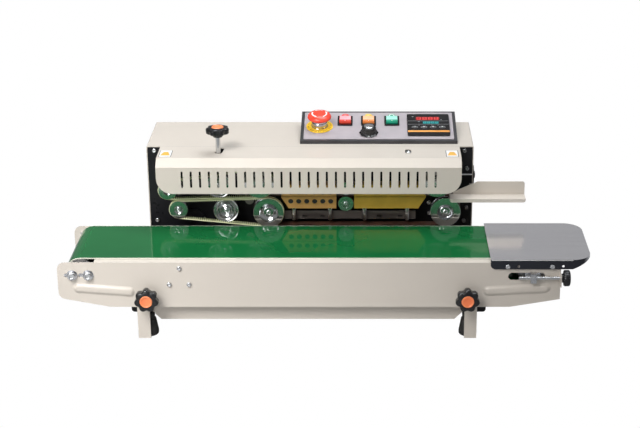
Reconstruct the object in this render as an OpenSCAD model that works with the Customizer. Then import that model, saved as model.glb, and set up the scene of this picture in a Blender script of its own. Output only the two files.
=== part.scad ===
// Continuous band sealer for plastic bags, on a low stand with its own conveyor.
// Bags stand on the conveyor and their open tops pass between two heated bands.
// Millimetres. X runs along the conveyor, Y away from the operator and Z up.
// The origin is on the bench, under the middle of the machine.

/* [Overall] */
// Length over the conveyor panels and the loading plate
total_len = 840; // [830:1:850]
// Depth from the front of the clamp knobs to the mains inlet
total_depth = 384; // [382:1:388]

/* [Head] */
// Length of the head housing
head_len = 548; // [546:1:552]
// Height of the top of the head above the bench
head_top = 250; // [250:1:252]
// Number of vertical slots in the front cover
slot_count = 29; // [20:1:30]
// Distance from one slot to the next
slot_pitch = 14.83; // [12:0.01:15]

/* [Sealing] */
// Radius of the four band wheels
wheel_r = 25.45; // [25.3:0.01:25.46]
// Width of a sealing band
band_w = 15; // [12:0.5:15]
// Teeth on each of the two drive gears
gear_teeth = 36; // [36]
// Teeth on the motor pinion
pinion_teeth = 12; // [12]

/* [Conveyor] */
// Width of the conveyor belt
belt_w = 138; // [130:1:138]
// Height of the belt's carrying surface
belt_top = 134; // [133:0.5:134]
// Thickness of the belt
belt_t = 1.5; // [1:0.1:1.5]

/* [Stand] */
// Height of a rubber foot
foot_h = 39; // [36:1:39]
// Radius of a rubber foot at the bench
foot_r = 14.5; // [14:0.5:16]

/* [Hidden] */
$fn = 48;

sheet = 1.5;                       // sheet-metal thickness
fit = 0.1;                         // radial clearance of a running shaft
gap = 0.3;                         // clearance between pieces that move past each other

// Machine box
x_min = -total_len / 2;
x_max = total_len / 2;
y_front = -total_depth / 2;
y_back = total_depth / 2;

// Head
head_x0 = -302;
head_x1 = head_x0 + head_len;
head_y0 = 58;
head_y1 = y_back - sheet;
head_z0 = 60;
plate_y0 = head_y0 + 0.5;          // front face of the black front plate
plate_y1 = plate_y0 + 3;
back_y0 = head_y1 - sheet;
head_r = 2.5;

// Front cover
cover_x0 = -278;
cover_x1 = 222;
cover_y = -16;                     // its vertical face
cover_lip_y = -2.5;                // where the slanted edge meets the top
cover_bend_z = head_top - 12;
cover_z0 = 192.5;
cover_corner_r = 26;
slot_x0 = cover_x0 + 42.4;
slot_w = 3.5;
slot_z0 = 203;
slot_z1 = 231.5;

// Sealing mechanism: centres are [x, z]
lower_drive = [-97, 148];
upper_drive = [-111.5, 200.1];
lower_idler = [198.4, 148];
upper_idler = [183.9, 200.1];
lower_guide = [-247, 153.3];
upper_guide = [-264, 187];
lower_emboss = [-168, 151];
upper_emboss = [-179, 194.3];
lower_press = [32, 161.7];
upper_press = [32, 186.5];
band_t = 0.5;
band_y0 = 25;
band_inner_r = wheel_r + 0.05;
seal_z = lower_drive[1] + band_inner_r + band_t;
wheel_y0 = 16;
wheel_y1 = 41;
track_y0 = 24.3;                   // where a wheel's band track starts
guide_y0 = 14;
guide_y1 = 22;
guide_t = 3;
flange_y0 = 12.4;                  // front face of the guide belts' flanges
flange_h = 2.2;
drive_groove_r = 23;
guide_groove_r = 13;
shaft_r = 6;
small_shaft_r = 4;
emboss_r = 21.5;
emboss_hub_r = 16.5;
press_r = 11.4;
press_flange_r = 13.2;
block_y0 = 20;
block_y1 = 41;
block_h = 19.9;
block_gap = 0.6;                   // from the sealing plane to a block's face
cooling_x = [-76, 16];
heating_x = [46, 165.6];
block_slant = 12.6;
post_x = [-55, 5.4, 63, 134.5];
post_y = 25.5;
post_r = 4;
bracket_z = 131;
bracket_y = 30;

// Gears
gear_module = 1.5;
gear_y0 = 78;
gear_y1 = 88;
mesh_angle = atan2(upper_drive[1] - lower_drive[1], upper_drive[0] - lower_drive[0]);
tooth_step = 360 / gear_teeth;
pinion_angle = mesh_angle - 17 * tooth_step;
pinion_dist = gear_module * (gear_teeth + pinion_teeth) / 2;
pinion = lower_drive + pinion_dist * [cos(pinion_angle), sin(pinion_angle)];

// Plate screws and shaft holes; positions are [x, z]
plate_screw_at = [
    [-289, 242.6], [-289, 118], [231, 242.6], [235.6, 211.5],
    [235.7, 141], [231.7, 117], [172, 150], [173, 131]
];
shaft_holes = [
    [lower_drive, shaft_r], [upper_drive, shaft_r], [lower_idler, shaft_r],
    [upper_idler, shaft_r], [lower_guide, small_shaft_r], [upper_guide, small_shaft_r],
    [lower_emboss, shaft_r], [upper_emboss, shaft_r], [lower_press, small_shaft_r],
    [upper_press, small_shaft_r]
];

// Mains inlet in the back, and the bag tray at the loading end
inlet_x = 150;
inlet_z = 95;
inlet_size = [28, 48];
bag_tray_x = [204.8, 330.4];
bag_tray_y = [4, 30];
bag_tray_z = 176;

// Controls, placed on the sloping top of the console
console_x0 = -45;
console_x1 = 219.5;
console_y0 = 70.5;
console_y1 = 172.5;
console_front_z = head_top + 5.2;
console_back_z = head_top + 25;
console_tilt = atan2(console_back_z - console_front_z, console_y1 - console_y0);
console_len = (console_y1 - console_y0) / cos(console_tilt);
panel_t = 0.8;
plate_rim = 5.5;                   // from the console's edge to its grey plate
estop_at = [-13.4, 48.5];
estop_stem_r = 7.7;
estop_head_w = 13;                 // underside of the mushroom head above the slope
estop_top_w = 27;
rocker_x = [30, 70, 110];
rocker_v = 67.7;
rocker_frame = [25, 31];
rocker_window = [20, 27.2];
rocker_body = [19.4, 24.8];
rocker_pivot_w = -2;
rocker_pivot_r = 1.6;
rocker_tilt = 7;
speed_at = [70.5, 25];
controller_x0 = 136;
controller_v0 = 15;
controller_side = 72;
button_r = 3;
button_v = 25.5;
button_travel = 0.8;
button_w0 = panel_t + 1.2;

// Side knob, fan and pressure knob
tray_knob_at = [95, 187];
fan_at = [121, 175];
fan_r = 19;
pressure_at = [-178.5, 25.5];
pressure_knob_z = [282.2, 295.6];
pressure_stud_z = 219;
cover_screw = [135.5, 25.5];

// Conveyor
panel_y = -162;                    // outer face of the front panel
rear_y = -2;                       // outer face of the rear panel
panel_z0 = 56;
panel_z1 = 132;
panel_x1 = 372;
panel_end_z = 69.5;
panel_corner_r = 12;
belt_y0 = -148;
belt_y1 = belt_y0 + belt_w;
belt_inner_r = 22.3;
roller_r = belt_inner_r - 0.2;
roller_z = belt_top - belt_t - belt_inner_r;
drive_roller_x = -385.5;
tail_roller_x = 328;
axle_r = 5;
tie_x = [-228, 150];
plate_x0 = 261;
plate_y = [-165, -8.4];
plate_z1 = 138;
plate_corner_r = 30;
tension_rod = [-168, 108.3];         // y and z of the tension screw
tension_rod_r = 2.5;
tab_x = panel_x1 - sheet;
left_slot_x = [-410, -387.4];
left_slot_len = 19;
left_slot_r = 3.3;
tension_slot = [[295.5, 108.7], [341, 108.7]];
tension_slot_r = 6.3;
bracket_bolts = [[-228, 123], [-244.5, 95.4], [-213.4, 95.4]];
side_bolts = [[-396.8, roller_z + 0.6], [-371.4, roller_z + 0.6]];
plate_screws = [[288, 127], [358, 127]];
rear_z1 = 130.5;                   // top of the rear panel
star_x = [-278.5, 225];
star_z = 76.5;
stud_r = 4;
travel_down = 10;
travel_up = 15;

// Stand
tray_x = [-262, 207];
tray_y = [-145, 186];
tray_z0 = 27;
bar_x = [-309, 257];
bar_y = [tray_y[0] + sheet, 150];
bar_d = 28;
bar_z1 = 52;
bar_r = 5;
leg_x = [-297.7, 222.3];
leg_w = 19.6;
leg_y = -160;
leg_t = 2.5;
leg_top = 112;
foot_x = [-282, 229];
foot_y = [-141, 164];
foot_top_r = 10;

// ---------- Shapes ----------

module block(lo, hi) {
    translate(lo) cube(hi - lo);
}

module rod_x(yz, x0, x1, r) {
    translate([x0, yz[0], yz[1]]) rotate([0, 90, 0]) cylinder(r = r, h = x1 - x0);
}

module rod_y(xz, y0, y1, r) {
    translate([xz[0], y0, xz[1]]) rotate([-90, 0, 0]) cylinder(r = r, h = y1 - y0);
}

module rod_z(xy, z0, z1, r) {
    translate([xy[0], xy[1], z0]) cylinder(r = r, h = z1 - z0);
}

// Extrudes a shape drawn in X and Z from y0 to y1
module along_y(y0, y1) {
    translate([0, y1, 0]) rotate([90, 0, 0]) linear_extrude(y1 - y0) children();
}

// Extrudes a shape drawn in Y and Z from x0 to x1
module along_x(x0, x1) {
    translate([x0, 0, 0]) rotate([90, 0, 90]) linear_extrude(x1 - x0) children();
}

// Rectangle with round corners
module round_rect(lo, hi, r) {
    translate([lo[0] + r, lo[1]]) square([hi[0] - lo[0] - 2 * r, hi[1] - lo[1]]);
    translate([lo[0], lo[1] + r]) square([hi[0] - lo[0], hi[1] - lo[1] - 2 * r]);
    for (x = [lo[0] + r, hi[0] - r], y = [lo[1] + r, hi[1] - r])
        translate([x, y]) circle(r = r);
}

// Bar with two round ends, from point a to point b
module round_bar(a, b, r) {
    d = b - a;
    translate(a) circle(r = r);
    translate(b) circle(r = r);
    translate(a) rotate(atan2(d[1], d[0])) translate([0, -r]) square([norm(d), 2 * r]);
}

// Points of an arc
function arc(c, r, a0, a1, n = 8) =
    [for (i = [0:n]) c + r * [cos(a0 + (a1 - a0) * i / n), sin(a0 + (a1 - a0) * i / n)]];

// Outline of a raised rib or a slot, a bar with round ends at any angle
module rib_outline(a, b, r) {
    turn = atan2(b[1] - a[1], b[0] - a[0]);
    polygon(concat(arc(b, r, turn - 90, turn + 90), arc(a, r, turn + 90, turn + 270)));
}

// Outline of a level loop round two equal wheels
module level_loop(a, b, r) {
    translate(a) circle(r = r);
    translate(b) circle(r = r);
    translate([a[0], a[1] - r]) square([b[0] - a[0], 2 * r]);
}

// Outline of a loop round two wheels of different size
module open_loop(a, ra, b, rb) {
    hull() {
        translate(a) circle(r = ra);
        translate(b) circle(r = rb);
    }
}

// Outline of a spur gear with one tooth at the angle phase
module gear_outline(teeth, phase) {
    pitch_r = gear_module * teeth / 2;
    root = pitch_r - 1.25 * gear_module;
    tip = pitch_r + 0.95 * gear_module;
    step = 360 / teeth;
    polygon([for (i = [0:teeth - 1], p = [[root, -0.31], [tip, -0.14], [tip, 0.14], [root, 0.31]])
        p[0] * [cos(phase + (i + p[1]) * step), sin(phase + (i + p[1]) * step)]]);
}

// Pan head with its shank, driven in along +Y from the face at y
module screw_y(xz, y, head_r, head_h, shank_r, depth) {
    rod_y(xz, y - head_h, y, head_r);
    rod_y(xz, y - 0.01, y + depth, shank_r);
}

// Places children on the console's slope: x along, y up the slope, z out of the panel
module on_console() {
    translate([0, console_y0, console_front_z]) rotate([console_tilt, 0, 0]) children();
}

module console_rod(at, w0, w1, r) {
    on_console() rod_z(at, w0, w1, r);
}

// ---------- Stand ----------

module tray_outline(inset, top) {
    side = inset * sqrt(2);
    z0 = tray_z0 + inset;
    polygon([
        [tray_x[0] + side - inset, z0],
        [tray_x[1] - side + inset, z0],
        [tray_x[1] - side + top - tray_z0, top],
        [tray_x[0] + side - top + tray_z0, top]
    ]);
}

module bar_outline(inset) {
    lo = [bar_x[0] + inset, foot_h + inset];
    hi = [bar_x[1] - inset, bar_z1 + 2 * bar_r];
    intersection() {
        round_rect(lo, hi, bar_r - inset);
        translate([bar_x[0], foot_h]) square([bar_x[1] - bar_x[0], bar_z1 - foot_h]);
    }
}

module base_tray() {
    color([0.87, 0.84, 0.79]) difference() {
        along_y(tray_y[0], tray_y[1]) tray_outline(0, head_z0);
        along_y(tray_y[0] + sheet, tray_y[1] - sheet) tray_outline(sheet, head_z0 + 1);
        for (y = bar_y) along_y(y, y + bar_d) bar_outline(0);
        for (x = foot_x, y = foot_y) rod_z([x, y], 0, foot_h, foot_top_r + 1.5);
        block([x_min, rear_y - 12, panel_z0 - travel_down - 3], [x_max, rear_y + 8, head_z0 + 1]);
    }
}

module foot_bars() {
    color([0.06, 0.06, 0.065]) for (y = bar_y) difference() {
        along_y(y, y + bar_d) bar_outline(0);
        along_y(y + 2, y + bar_d - 2) translate([0, 1]) bar_outline(2);
    }
}

module rubber_feet() {
    waist_z = 0.7 * foot_h;
    color([0.05, 0.05, 0.05]) for (x = foot_x, y = foot_y) translate([x, y, 0])
        rotate_extrude() polygon(concat(
            [[0, 0], [foot_r - 3, 0]],
            arc([foot_r - 3, 3], 3, -70, 0, 4),
            [[foot_r, 7], [foot_top_r + 1, waist_z], [foot_top_r - 1, waist_z + 1.5],
             [foot_top_r, foot_h], [0, foot_h]]));
}

module front_legs() {
    slot_z = [star_z - travel_down - stud_r - 1, star_z + travel_up + stud_r + 1];
    color([0.9, 0.87, 0.82]) for (i = [0, 1]) {
        x = leg_x[i];
        wide = i == 0 ? [x, x + 38] : [x - 18, x + leg_w];
        difference() {
            union() {
                block([x, leg_y, 0.5], [x + leg_w, leg_y + leg_t, panel_z0]);
                for (side = [x, x + leg_w - 2]) {
                    block([side, leg_y + leg_t, 0.5], [side + 2, leg_y + 5, panel_z0]);
                    block([side, leg_y + leg_t, 46], [side + 2, tray_y[0], panel_z0]);
                }
                block([wide[0], leg_y, panel_z0], [wide[1], leg_y + leg_t, leg_top]);
            }
            along_y(leg_y - 1, leg_y + leg_t + 1)
                round_bar([star_x[i], slot_z[0] + stud_r + 0.2],
                    [star_x[i], slot_z[1] - stud_r - 0.2], stud_r + 0.4);
        }
    }
}

// ---------- Head ----------

module head_housing() {
    color([0.87, 0.84, 0.79]) difference() {
        along_y(head_y0, head_y1) round_rect([head_x0, head_z0], [head_x1, head_top], head_r);
        along_y(head_y0 - 1, head_y1 + 1)
            round_rect([head_x0 + sheet, head_z0 + sheet], [head_x1 - sheet, head_top - sheet],
                head_r - sheet);
        block([console_x0 + 8, console_y0 + 6, head_top - 5],
            [console_x1 - 8, console_y1 - 6, head_top + 1]);
        rod_x(fan_at, head_x0 - 1, head_x0 + 3, fan_r);
        rod_x(tray_knob_at, head_x1 - 3, head_x1 + 1, small_shaft_r + fit);
    }
}

module back_cover() {
    louvre_w = 60;
    inset = sheet + gap;
    color([0.87, 0.84, 0.79]) difference() {
        along_y(back_y0, head_y1)
            round_rect([head_x0 + inset, head_z0 + inset], [head_x1 - inset, head_top - inset],
                head_r - inset);
        along_y(back_y0 - 1, head_y1 + 1) {
            for (x = [-200, -110, 20], i = [0:7])
                translate([0, 120 + 12 * i]) round_bar([x, 0], [x + louvre_w, 0], 1.6);
            translate([inlet_x - inlet_size[0] / 2, inlet_z - inlet_size[1] / 2])
                square(inlet_size);
        }
    }
}

module front_plate() {
    inset = sheet + 0.1;
    color([0.04, 0.04, 0.045]) difference() {
        union() {
            along_y(plate_y0, plate_y1)
                round_rect([head_x0 + inset, head_z0 + inset], [head_x1 - inset, head_top - inset],
                    head_r - inset);
            rod_y([-226, 122], plate_y0 - 6, plate_y0 + 1, 18);
            block([cover_screw[0] - 7, cover_screw[1] - 6, head_top - 10],
                [cover_screw[0] + 7, plate_y0 + 1, head_top - 8]);
        }
        for (h = shaft_holes) rod_y(h[0], plate_y0 - 1, plate_y1 + 1, h[1] + fit);
        for (p = plate_screw_at) rod_y(p, plate_y0 - 1, plate_y1 + 1, 2);
    }
}

module front_cover() {
    z1 = head_top;
    color([0.87, 0.84, 0.79]) difference() {
        union() {
            along_x(cover_x0, cover_x1) polygon([
                [cover_y, cover_bend_z], [cover_lip_y, z1], [head_y0, z1], [head_y0, z1 - sheet],
                [cover_lip_y + 0.6, z1 - sheet], [cover_y + sheet, cover_bend_z - 0.7],
                [cover_y + sheet, cover_bend_z - 3], [cover_y, cover_bend_z - 3]
            ]);
            along_y(cover_y, cover_y + sheet) polygon(concat(
                [[cover_x0, cover_bend_z - 3]],
                arc([cover_x0 + cover_corner_r, cover_z0 + cover_corner_r], cover_corner_r, 180, 270),
                arc([cover_x1 - cover_corner_r, cover_z0 + cover_corner_r], cover_corner_r, 270, 360),
                [[cover_x1, cover_bend_z - 3]]));
            for (x = [cover_x0, cover_x1 - sheet])
                block([x, cover_lip_y + 1, z1 - 20], [x + sheet, head_y0, z1 - sheet]);
        }
        for (i = [0:slot_count - 1]) along_y(cover_y - 1, cover_y + sheet + 1) {
            x = slot_x0 + i * slot_pitch;
            round_bar([x, slot_z0 + slot_w / 2], [x, slot_z1 - slot_w / 2], slot_w / 2);
        }
        translate([0, 0, z1 - 3]) linear_extrude(4) {
            rib_outline([pressure_at[0] + 0.5, 26.5], [pressure_at[0] + 2.5, 44], 6);
            rib_outline([cover_screw[0], 26], [cover_screw[0], 38], 5.2);
        }
    }
}

module head_screws() {
    color([0.75, 0.75, 0.77]) {
        for (p = plate_screw_at) screw_y(p, plate_y0, 3.4, 2.2, 1.95, 3);
        rod_z(cover_screw, head_top - 8, head_top + sheet, small_shaft_r);
        for (x = [head_x0 + 20, head_x1 - 20], z = [head_z0 + 20, head_top - 20])
            rod_y([x, z], head_y1, y_back, 3.4);
    }
}

module bag_tray() {
    x = bag_tray_x;
    y = bag_tray_y;
    z = bag_tray_z;
    lip = 6;
    wall_h = 22;
    corner = 4;
    color([0.88, 0.85, 0.8]) {
        block([x[0], y[0], z - sheet], [x[1], y[1], z]);
        along_y(y[0], y[0] + sheet) polygon(concat(
            [[x[0], z - sheet]],
            arc([x[0] + corner, z - lip + corner], corner, 180, 270, 4),
            arc([x[1] - corner, z - lip + corner], corner, 270, 360, 4),
            [[x[1], z - sheet]]));
        along_y(y[1] - sheet, y[1]) polygon(concat(
            [[x[0] + 6, z - sheet], [x[1], z - sheet]],
            arc([x[1] - corner, z + wall_h - corner], corner, 0, 90, 4),
            [[252, z + wall_h], [x[0] + 6, z + 3]]));
    }
}

module tray_knob() {
    color([0.07, 0.07, 0.075]) {
        rod_x(tray_knob_at, head_x1 + gap, head_x1 + 3.5, 16);
        rod_x(tray_knob_at, head_x1 + 3.5, head_x1 + 5.3, 6);
        rod_x(tray_knob_at, head_x1 - 12, head_x1 + gap + 0.01, small_shaft_r);
    }
}

module fan_guard() {
    half = 22;
    color([0.55, 0.56, 0.58]) difference() {
        along_x(head_x0 - 3, head_x0)
            round_rect([fan_at[0] - half, fan_at[1] - half], [fan_at[0] + half, fan_at[1] + half], 4);
        along_x(head_x0 - 4, head_x0 + 1) for (i = [-3:3])
            translate([fan_at[0] + i * 5, fan_at[1]])
                round_bar([0, -16 + abs(i) * 2], [0, 16 - abs(i) * 2], 1.4);
    }
}

module fan_rotor() {
    x0 = head_x0 + 4;
    color([0.1, 0.1, 0.1]) {
        rod_x(fan_at, x0, x0 + 12, 7);
        for (i = [0:6]) translate([x0 + 6, fan_at[0], fan_at[1]]) rotate([i * 360 / 7, 0, 0])
            translate([0, 0, 6.5]) rotate([0, 0, 35]) translate([-0.7, -4, 0]) cube([1.4, 8, 10.5]);
    }
}

module power_inlet() {
    w = inlet_size[0];
    h = inlet_size[1];
    color([0.07, 0.07, 0.07]) difference() {
        union() {
            block([inlet_x - w / 2, back_y0 - 20, inlet_z - h / 2],
                [inlet_x + w / 2, head_y1, inlet_z + h / 2]);
            along_y(head_y1, y_back)
                round_rect([inlet_x - w / 2 - 4, inlet_z - h / 2 - 4],
                    [inlet_x + w / 2 + 4, inlet_z + h / 2 + 4], 4);
        }
        block([inlet_x - 12, y_back - 16, inlet_z - 2], [inlet_x + 12, y_back + 1, inlet_z + 16]);
        rod_y([inlet_x, inlet_z - 14], y_back - 8, y_back + 1, 6);
    }
}

// ---------- Controls ----------

// Everything that the console and its plate are cut away for
module console_openings(margin) {
    console_rod(estop_at, -6, 6, 11 + margin);
    console_rod(speed_at, -6, 6, 3 + fit);
    on_console() {
        for (x = rocker_x) translate([x, rocker_v, 0])
            cube([rocker_frame[0] - 2 + 2 * margin, rocker_frame[1] - 2 + 2 * margin, 12],
                center = true);
        translate([controller_x0 + 3 - margin, controller_v0 + 3 - margin, -6])
            cube([controller_side - 6 + 2 * margin, controller_side - 6 + 2 * margin, 12]);
    }
}

module control_console() {
    t = 2;
    color([0.2, 0.2, 0.21]) difference() {
        along_x(console_x0, console_x1) polygon([
            [console_y0, head_top], [console_y1, head_top],
            [console_y1, console_back_z], [console_y0, console_front_z]
        ]);
        along_x(console_x0 + t, console_x1 - t) polygon([
            [console_y0 + t, head_top - 1], [console_y1 - t, head_top - 1],
            [console_y1 - t, console_back_z - t - 0.4], [console_y0 + t, console_front_z - t + 0.4]
        ]);
        console_openings(0);
    }
}

module console_plate() {
    color([0.74, 0.72, 0.74]) difference() {
        on_console() linear_extrude(panel_t)
            round_rect([console_x0 + plate_rim, plate_rim],
                [console_x1 - plate_rim, console_len - plate_rim], 2);
        console_openings(0);
    }
}

module rocker_frame_at(x) {
    on_console() translate([x, rocker_v, 0]) difference() {
        union() {
            translate([0, 0, panel_t + 1]) cube([rocker_frame[0], rocker_frame[1], 2],
                center = true);
            translate([0, 0, -8.6]) cube([rocker_frame[0] - 2, rocker_frame[1] - 2, 18.9],
                center = true);
        }
        translate([0, 0, 2]) cube([rocker_window[0], rocker_window[1], 28], center = true);
    }
}

module switch_housings() {
    color([0.08, 0.08, 0.085]) for (x = rocker_x) rocker_frame_at(x);
    color([0.93, 0.76, 0.2]) difference() {
        union() {
            console_rod(estop_at, panel_t, panel_t + 1.5, 22.5);
            console_rod(estop_at, panel_t + 1.5, panel_t + 6, 12.5);
            console_rod(estop_at, -28, panel_t + 0.01, 11);
        }
        console_rod(estop_at, -24, 20, 8);
    }
}

module estop_stem() {
    color([0.75, 0.75, 0.77]) {
        console_rod(estop_at, -12, estop_head_w - gap, estop_stem_r);
        console_rod(estop_at, estop_head_w - gap, estop_head_w + 8, 5);
    }
}

module estop_head() {
    color([0.9, 0.2, 0.15]) difference() {
        on_console() translate(estop_at) rotate_extrude() polygon(concat(
            [[0, estop_head_w], [14, estop_head_w], [17.5, estop_head_w + 3]],
            arc([17, estop_head_w + 6.5], 3, -60, 60, 6),
            [[17, estop_top_w - 3.5]],
            arc([0, estop_top_w - 42], 42, 68, 90, 6)));
        console_rod(estop_at, estop_head_w - 1, estop_head_w + 8.4, 5 + fit);
    }
}

module rocker_at(x) {
    hx = rocker_body[0] / 2;
    hy = rocker_body[1] / 2;
    on_console() translate([x, rocker_v, rocker_pivot_w]) rotate([-rocker_tilt, 0, 0])
        along_x(-hx, hx) polygon([
            [-hy, 7.5], [0, 5.8], [hy, 7.5], [hy, 4], [6, -5], [-6, -5], [-hy, 4]
        ]);
    on_console() translate([x, rocker_v, 0])
        rod_x([0, rocker_pivot_w], -hx - 0.2, hx + 0.2, rocker_pivot_r);
}

module rocker_red() {
    color([0.93, 0.25, 0.2]) rocker_at(rocker_x[0]);
}

module rocker_orange() {
    color([0.98, 0.55, 0.3]) rocker_at(rocker_x[1]);
}

module rocker_green() {
    color([0.1, 0.65, 0.42]) rocker_at(rocker_x[2]);
}

module speed_knob() {
    color([0.06, 0.06, 0.065]) {
        console_rod(speed_at, panel_t + gap, panel_t + 2.8, 15.5);
        console_rod(speed_at, panel_t + 2.8, 17, 12);
        console_rod(speed_at, -10, panel_t + gap, 3);
    }
}

function button_x(i) = controller_x0 + controller_side / 2 + (i - 1.5) * 15.5;

module temperature_controller() {
    side = controller_side;
    color([0.05, 0.05, 0.055]) difference() {
        on_console() {
            translate([0, 0, panel_t]) linear_extrude(3.4)
                round_rect([controller_x0, controller_v0],
                    [controller_x0 + side, controller_v0 + side], 3);
            translate([controller_x0 + 3, controller_v0 + 3, -58])
                cube([side - 6, side - 6, 58 + panel_t]);
        }
        for (i = [0:3])
            console_rod([button_x(i), controller_v0 + button_v], button_w0 - button_travel - 0.1,
                panel_t + 5, button_r + fit);
    }
}

module controller_button(i) {
    color([0.3, 0.3, 0.32])
        console_rod([button_x(i), controller_v0 + button_v], button_w0, panel_t + 4.4, button_r);
}

module pressure_knob() {
    color([0.07, 0.07, 0.075]) {
        translate([pressure_at[0], pressure_at[1], pressure_knob_z[0]])
            linear_extrude(pressure_knob_z[1] - pressure_knob_z[0] - 2) star_outline();
        rod_z(pressure_at, pressure_knob_z[1] - 2, pressure_knob_z[1], 10);
        rod_z(pressure_at, pressure_knob_z[0] - 6.2, pressure_knob_z[0], 8);
        rod_z(pressure_at, pressure_stud_z, pressure_knob_z[0] - 6, small_shaft_r);
    }
}

// ---------- Sealing mechanism ----------

// Band wheel with a recessed face and a washer on its end
module band_wheel(at, front_r, y_front, shaft_end) {
    recess_r = 15.5;
    recess = 7;
    difference() {
        union() {
            rod_y(at, track_y0, wheel_y1, wheel_r);
            rod_y(at, y_front, track_y0, front_r);
            children();
        }
        rod_y(at, y_front - 1, y_front + recess, recess_r);
    }
    rod_y(at, y_front + 2, y_front + recess, 7.5);
    rod_y(at, wheel_y1, shaft_end, shaft_r);
}

// Drive wheel: a groove in front of the band's track carries the guide belt
module drive_wheel(at) {
    band_wheel(at, drive_groove_r - 0.05, flange_y0, gear_y1 + 4) {
        rod_y(at, flange_y0, guide_y0 - gap, drive_groove_r + flange_h);
        rod_y(at, guide_y1 + 0.5, track_y0, wheel_r - 0.3);
    }
}

module lower_drive_wheel() {
    color([0.8, 0.8, 0.82]) drive_wheel(lower_drive);
}

module upper_drive_wheel() {
    color([0.8, 0.8, 0.82]) drive_wheel(upper_drive);
}

module lower_idler_wheel() {
    color([0.8, 0.8, 0.82]) band_wheel(lower_idler, wheel_r - 0.3, wheel_y0, 75);
}

module upper_idler_wheel() {
    color([0.8, 0.8, 0.82]) band_wheel(upper_idler, wheel_r - 0.3, wheel_y0, 75);
}

module sealing_bands() {
    color([0.3, 0.18, 0.12]) for (pair = [[lower_drive, lower_idler], [upper_drive, upper_idler]])
        along_y(band_y0, band_y0 + band_w) difference() {
            level_loop(pair[0], pair[1], band_inner_r + band_t);
            level_loop(pair[0], pair[1], band_inner_r);
        }
}

module guide_wheel(at) {
    r = guide_groove_r - 0.05;
    difference() {
        union() {
            rod_y(at, flange_y0, guide_y0 - gap, guide_groove_r + flange_h);
            rod_y(at, flange_y0, guide_y1 + 0.5, r);
            rod_y(at, guide_y1 + 0.5, guide_y1 + 3, guide_groove_r + flange_h);
        }
        rod_y(at, flange_y0 - 1, flange_y0 + 2, 6);
    }
    rod_y(at, flange_y0 + 0.8, flange_y0 + 2, 4.5);
    rod_y(at, guide_y1 + 3, 70, small_shaft_r);
}

module lower_guide_wheel() {
    color([0.8, 0.8, 0.82]) guide_wheel(lower_guide);
}

module upper_guide_wheel() {
    color([0.8, 0.8, 0.82]) guide_wheel(upper_guide);
}

module guide_belts() {
    color([0.85, 0.87, 0.6])
        for (pair = [[lower_guide, lower_drive], [upper_guide, upper_drive]])
            along_y(guide_y0, guide_y1) difference() {
                open_loop(pair[0], guide_groove_r + guide_t, pair[1], drive_groove_r + guide_t);
                open_loop(pair[0], guide_groove_r, pair[1], drive_groove_r);
            }
}

// Stepped wheel whose front face is turned into rings
module emboss_wheel(at) {
    front = guide_y0;
    difference() {
        union() {
            rod_y(at, guide_y1 + 1, wheel_y1, emboss_r);
            rod_y(at, front, guide_y1 + 1, emboss_hub_r);
        }
        difference() {
            rod_y(at, front - 1, front + 4, 12.5);
            rod_y(at, front - 2, front + 5, 8.5);
        }
        rod_y(at, front - 1, front + 2, 5.5);
    }
    rod_y(at, wheel_y1, 75, shaft_r);
}

module lower_emboss_wheel() {
    color([0.8, 0.8, 0.82]) emboss_wheel(lower_emboss);
}

module upper_emboss_wheel() {
    color([0.8, 0.8, 0.82]) emboss_wheel(upper_emboss);
}

module lower_press_wheel() {
    color([0.8, 0.8, 0.82]) {
        rod_y(lower_press, track_y0, wheel_y1, press_r);
        rod_y(lower_press, block_y0, track_y0, press_flange_r);
        rod_y(lower_press, wheel_y1, 70, small_shaft_r);
    }
}

module upper_press_wheel() {
    color([0.8, 0.8, 0.82]) {
        rod_y(upper_press, track_y0 + 0.3, wheel_y1, press_r);
        rod_y(upper_press, wheel_y1, 70, small_shaft_r);
    }
}

// Side view of a block under the sealing plane; one end slopes back
module block_outline(x, slant_left) {
    z1 = seal_z - block_gap;
    z0 = z1 - block_h;
    polygon([
        [x[0], z1], [x[1], z1],
        [x[1] - (slant_left ? 0 : block_slant), z0],
        [x[0] + (slant_left ? block_slant : 0), z0]
    ]);
}

// The same outline and its mirror image above the sealing plane
module block_pair(x, slant_left) {
    for (up = [0, 1]) translate([0, 0, up * (2 * seal_z + 0.1)]) mirror([0, 0, up])
        along_y(block_y0, block_y1) block_outline(x, slant_left);
}

module heating_blocks() {
    color([0.75, 0.62, 0.25]) difference() {
        block_pair(heating_x, false);
        for (z = [seal_z - 13, seal_z + 13.1]) rod_x([34, z], heating_x[0] - 1, heating_x[1] + 1, 3.2);
    }
}

module cooling_blocks() {
    pitch = 13.36;
    color([0.72, 0.55, 0.28]) difference() {
        block_pair(cooling_x, true);
        for (i = [0:5], z = [seal_z - 8.2, seal_z + 8.3])
            rod_y([cooling_x[0] + 16 + i * pitch, z], block_y0 - 1, block_y1 + 1, 4.3);
    }
}

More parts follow.
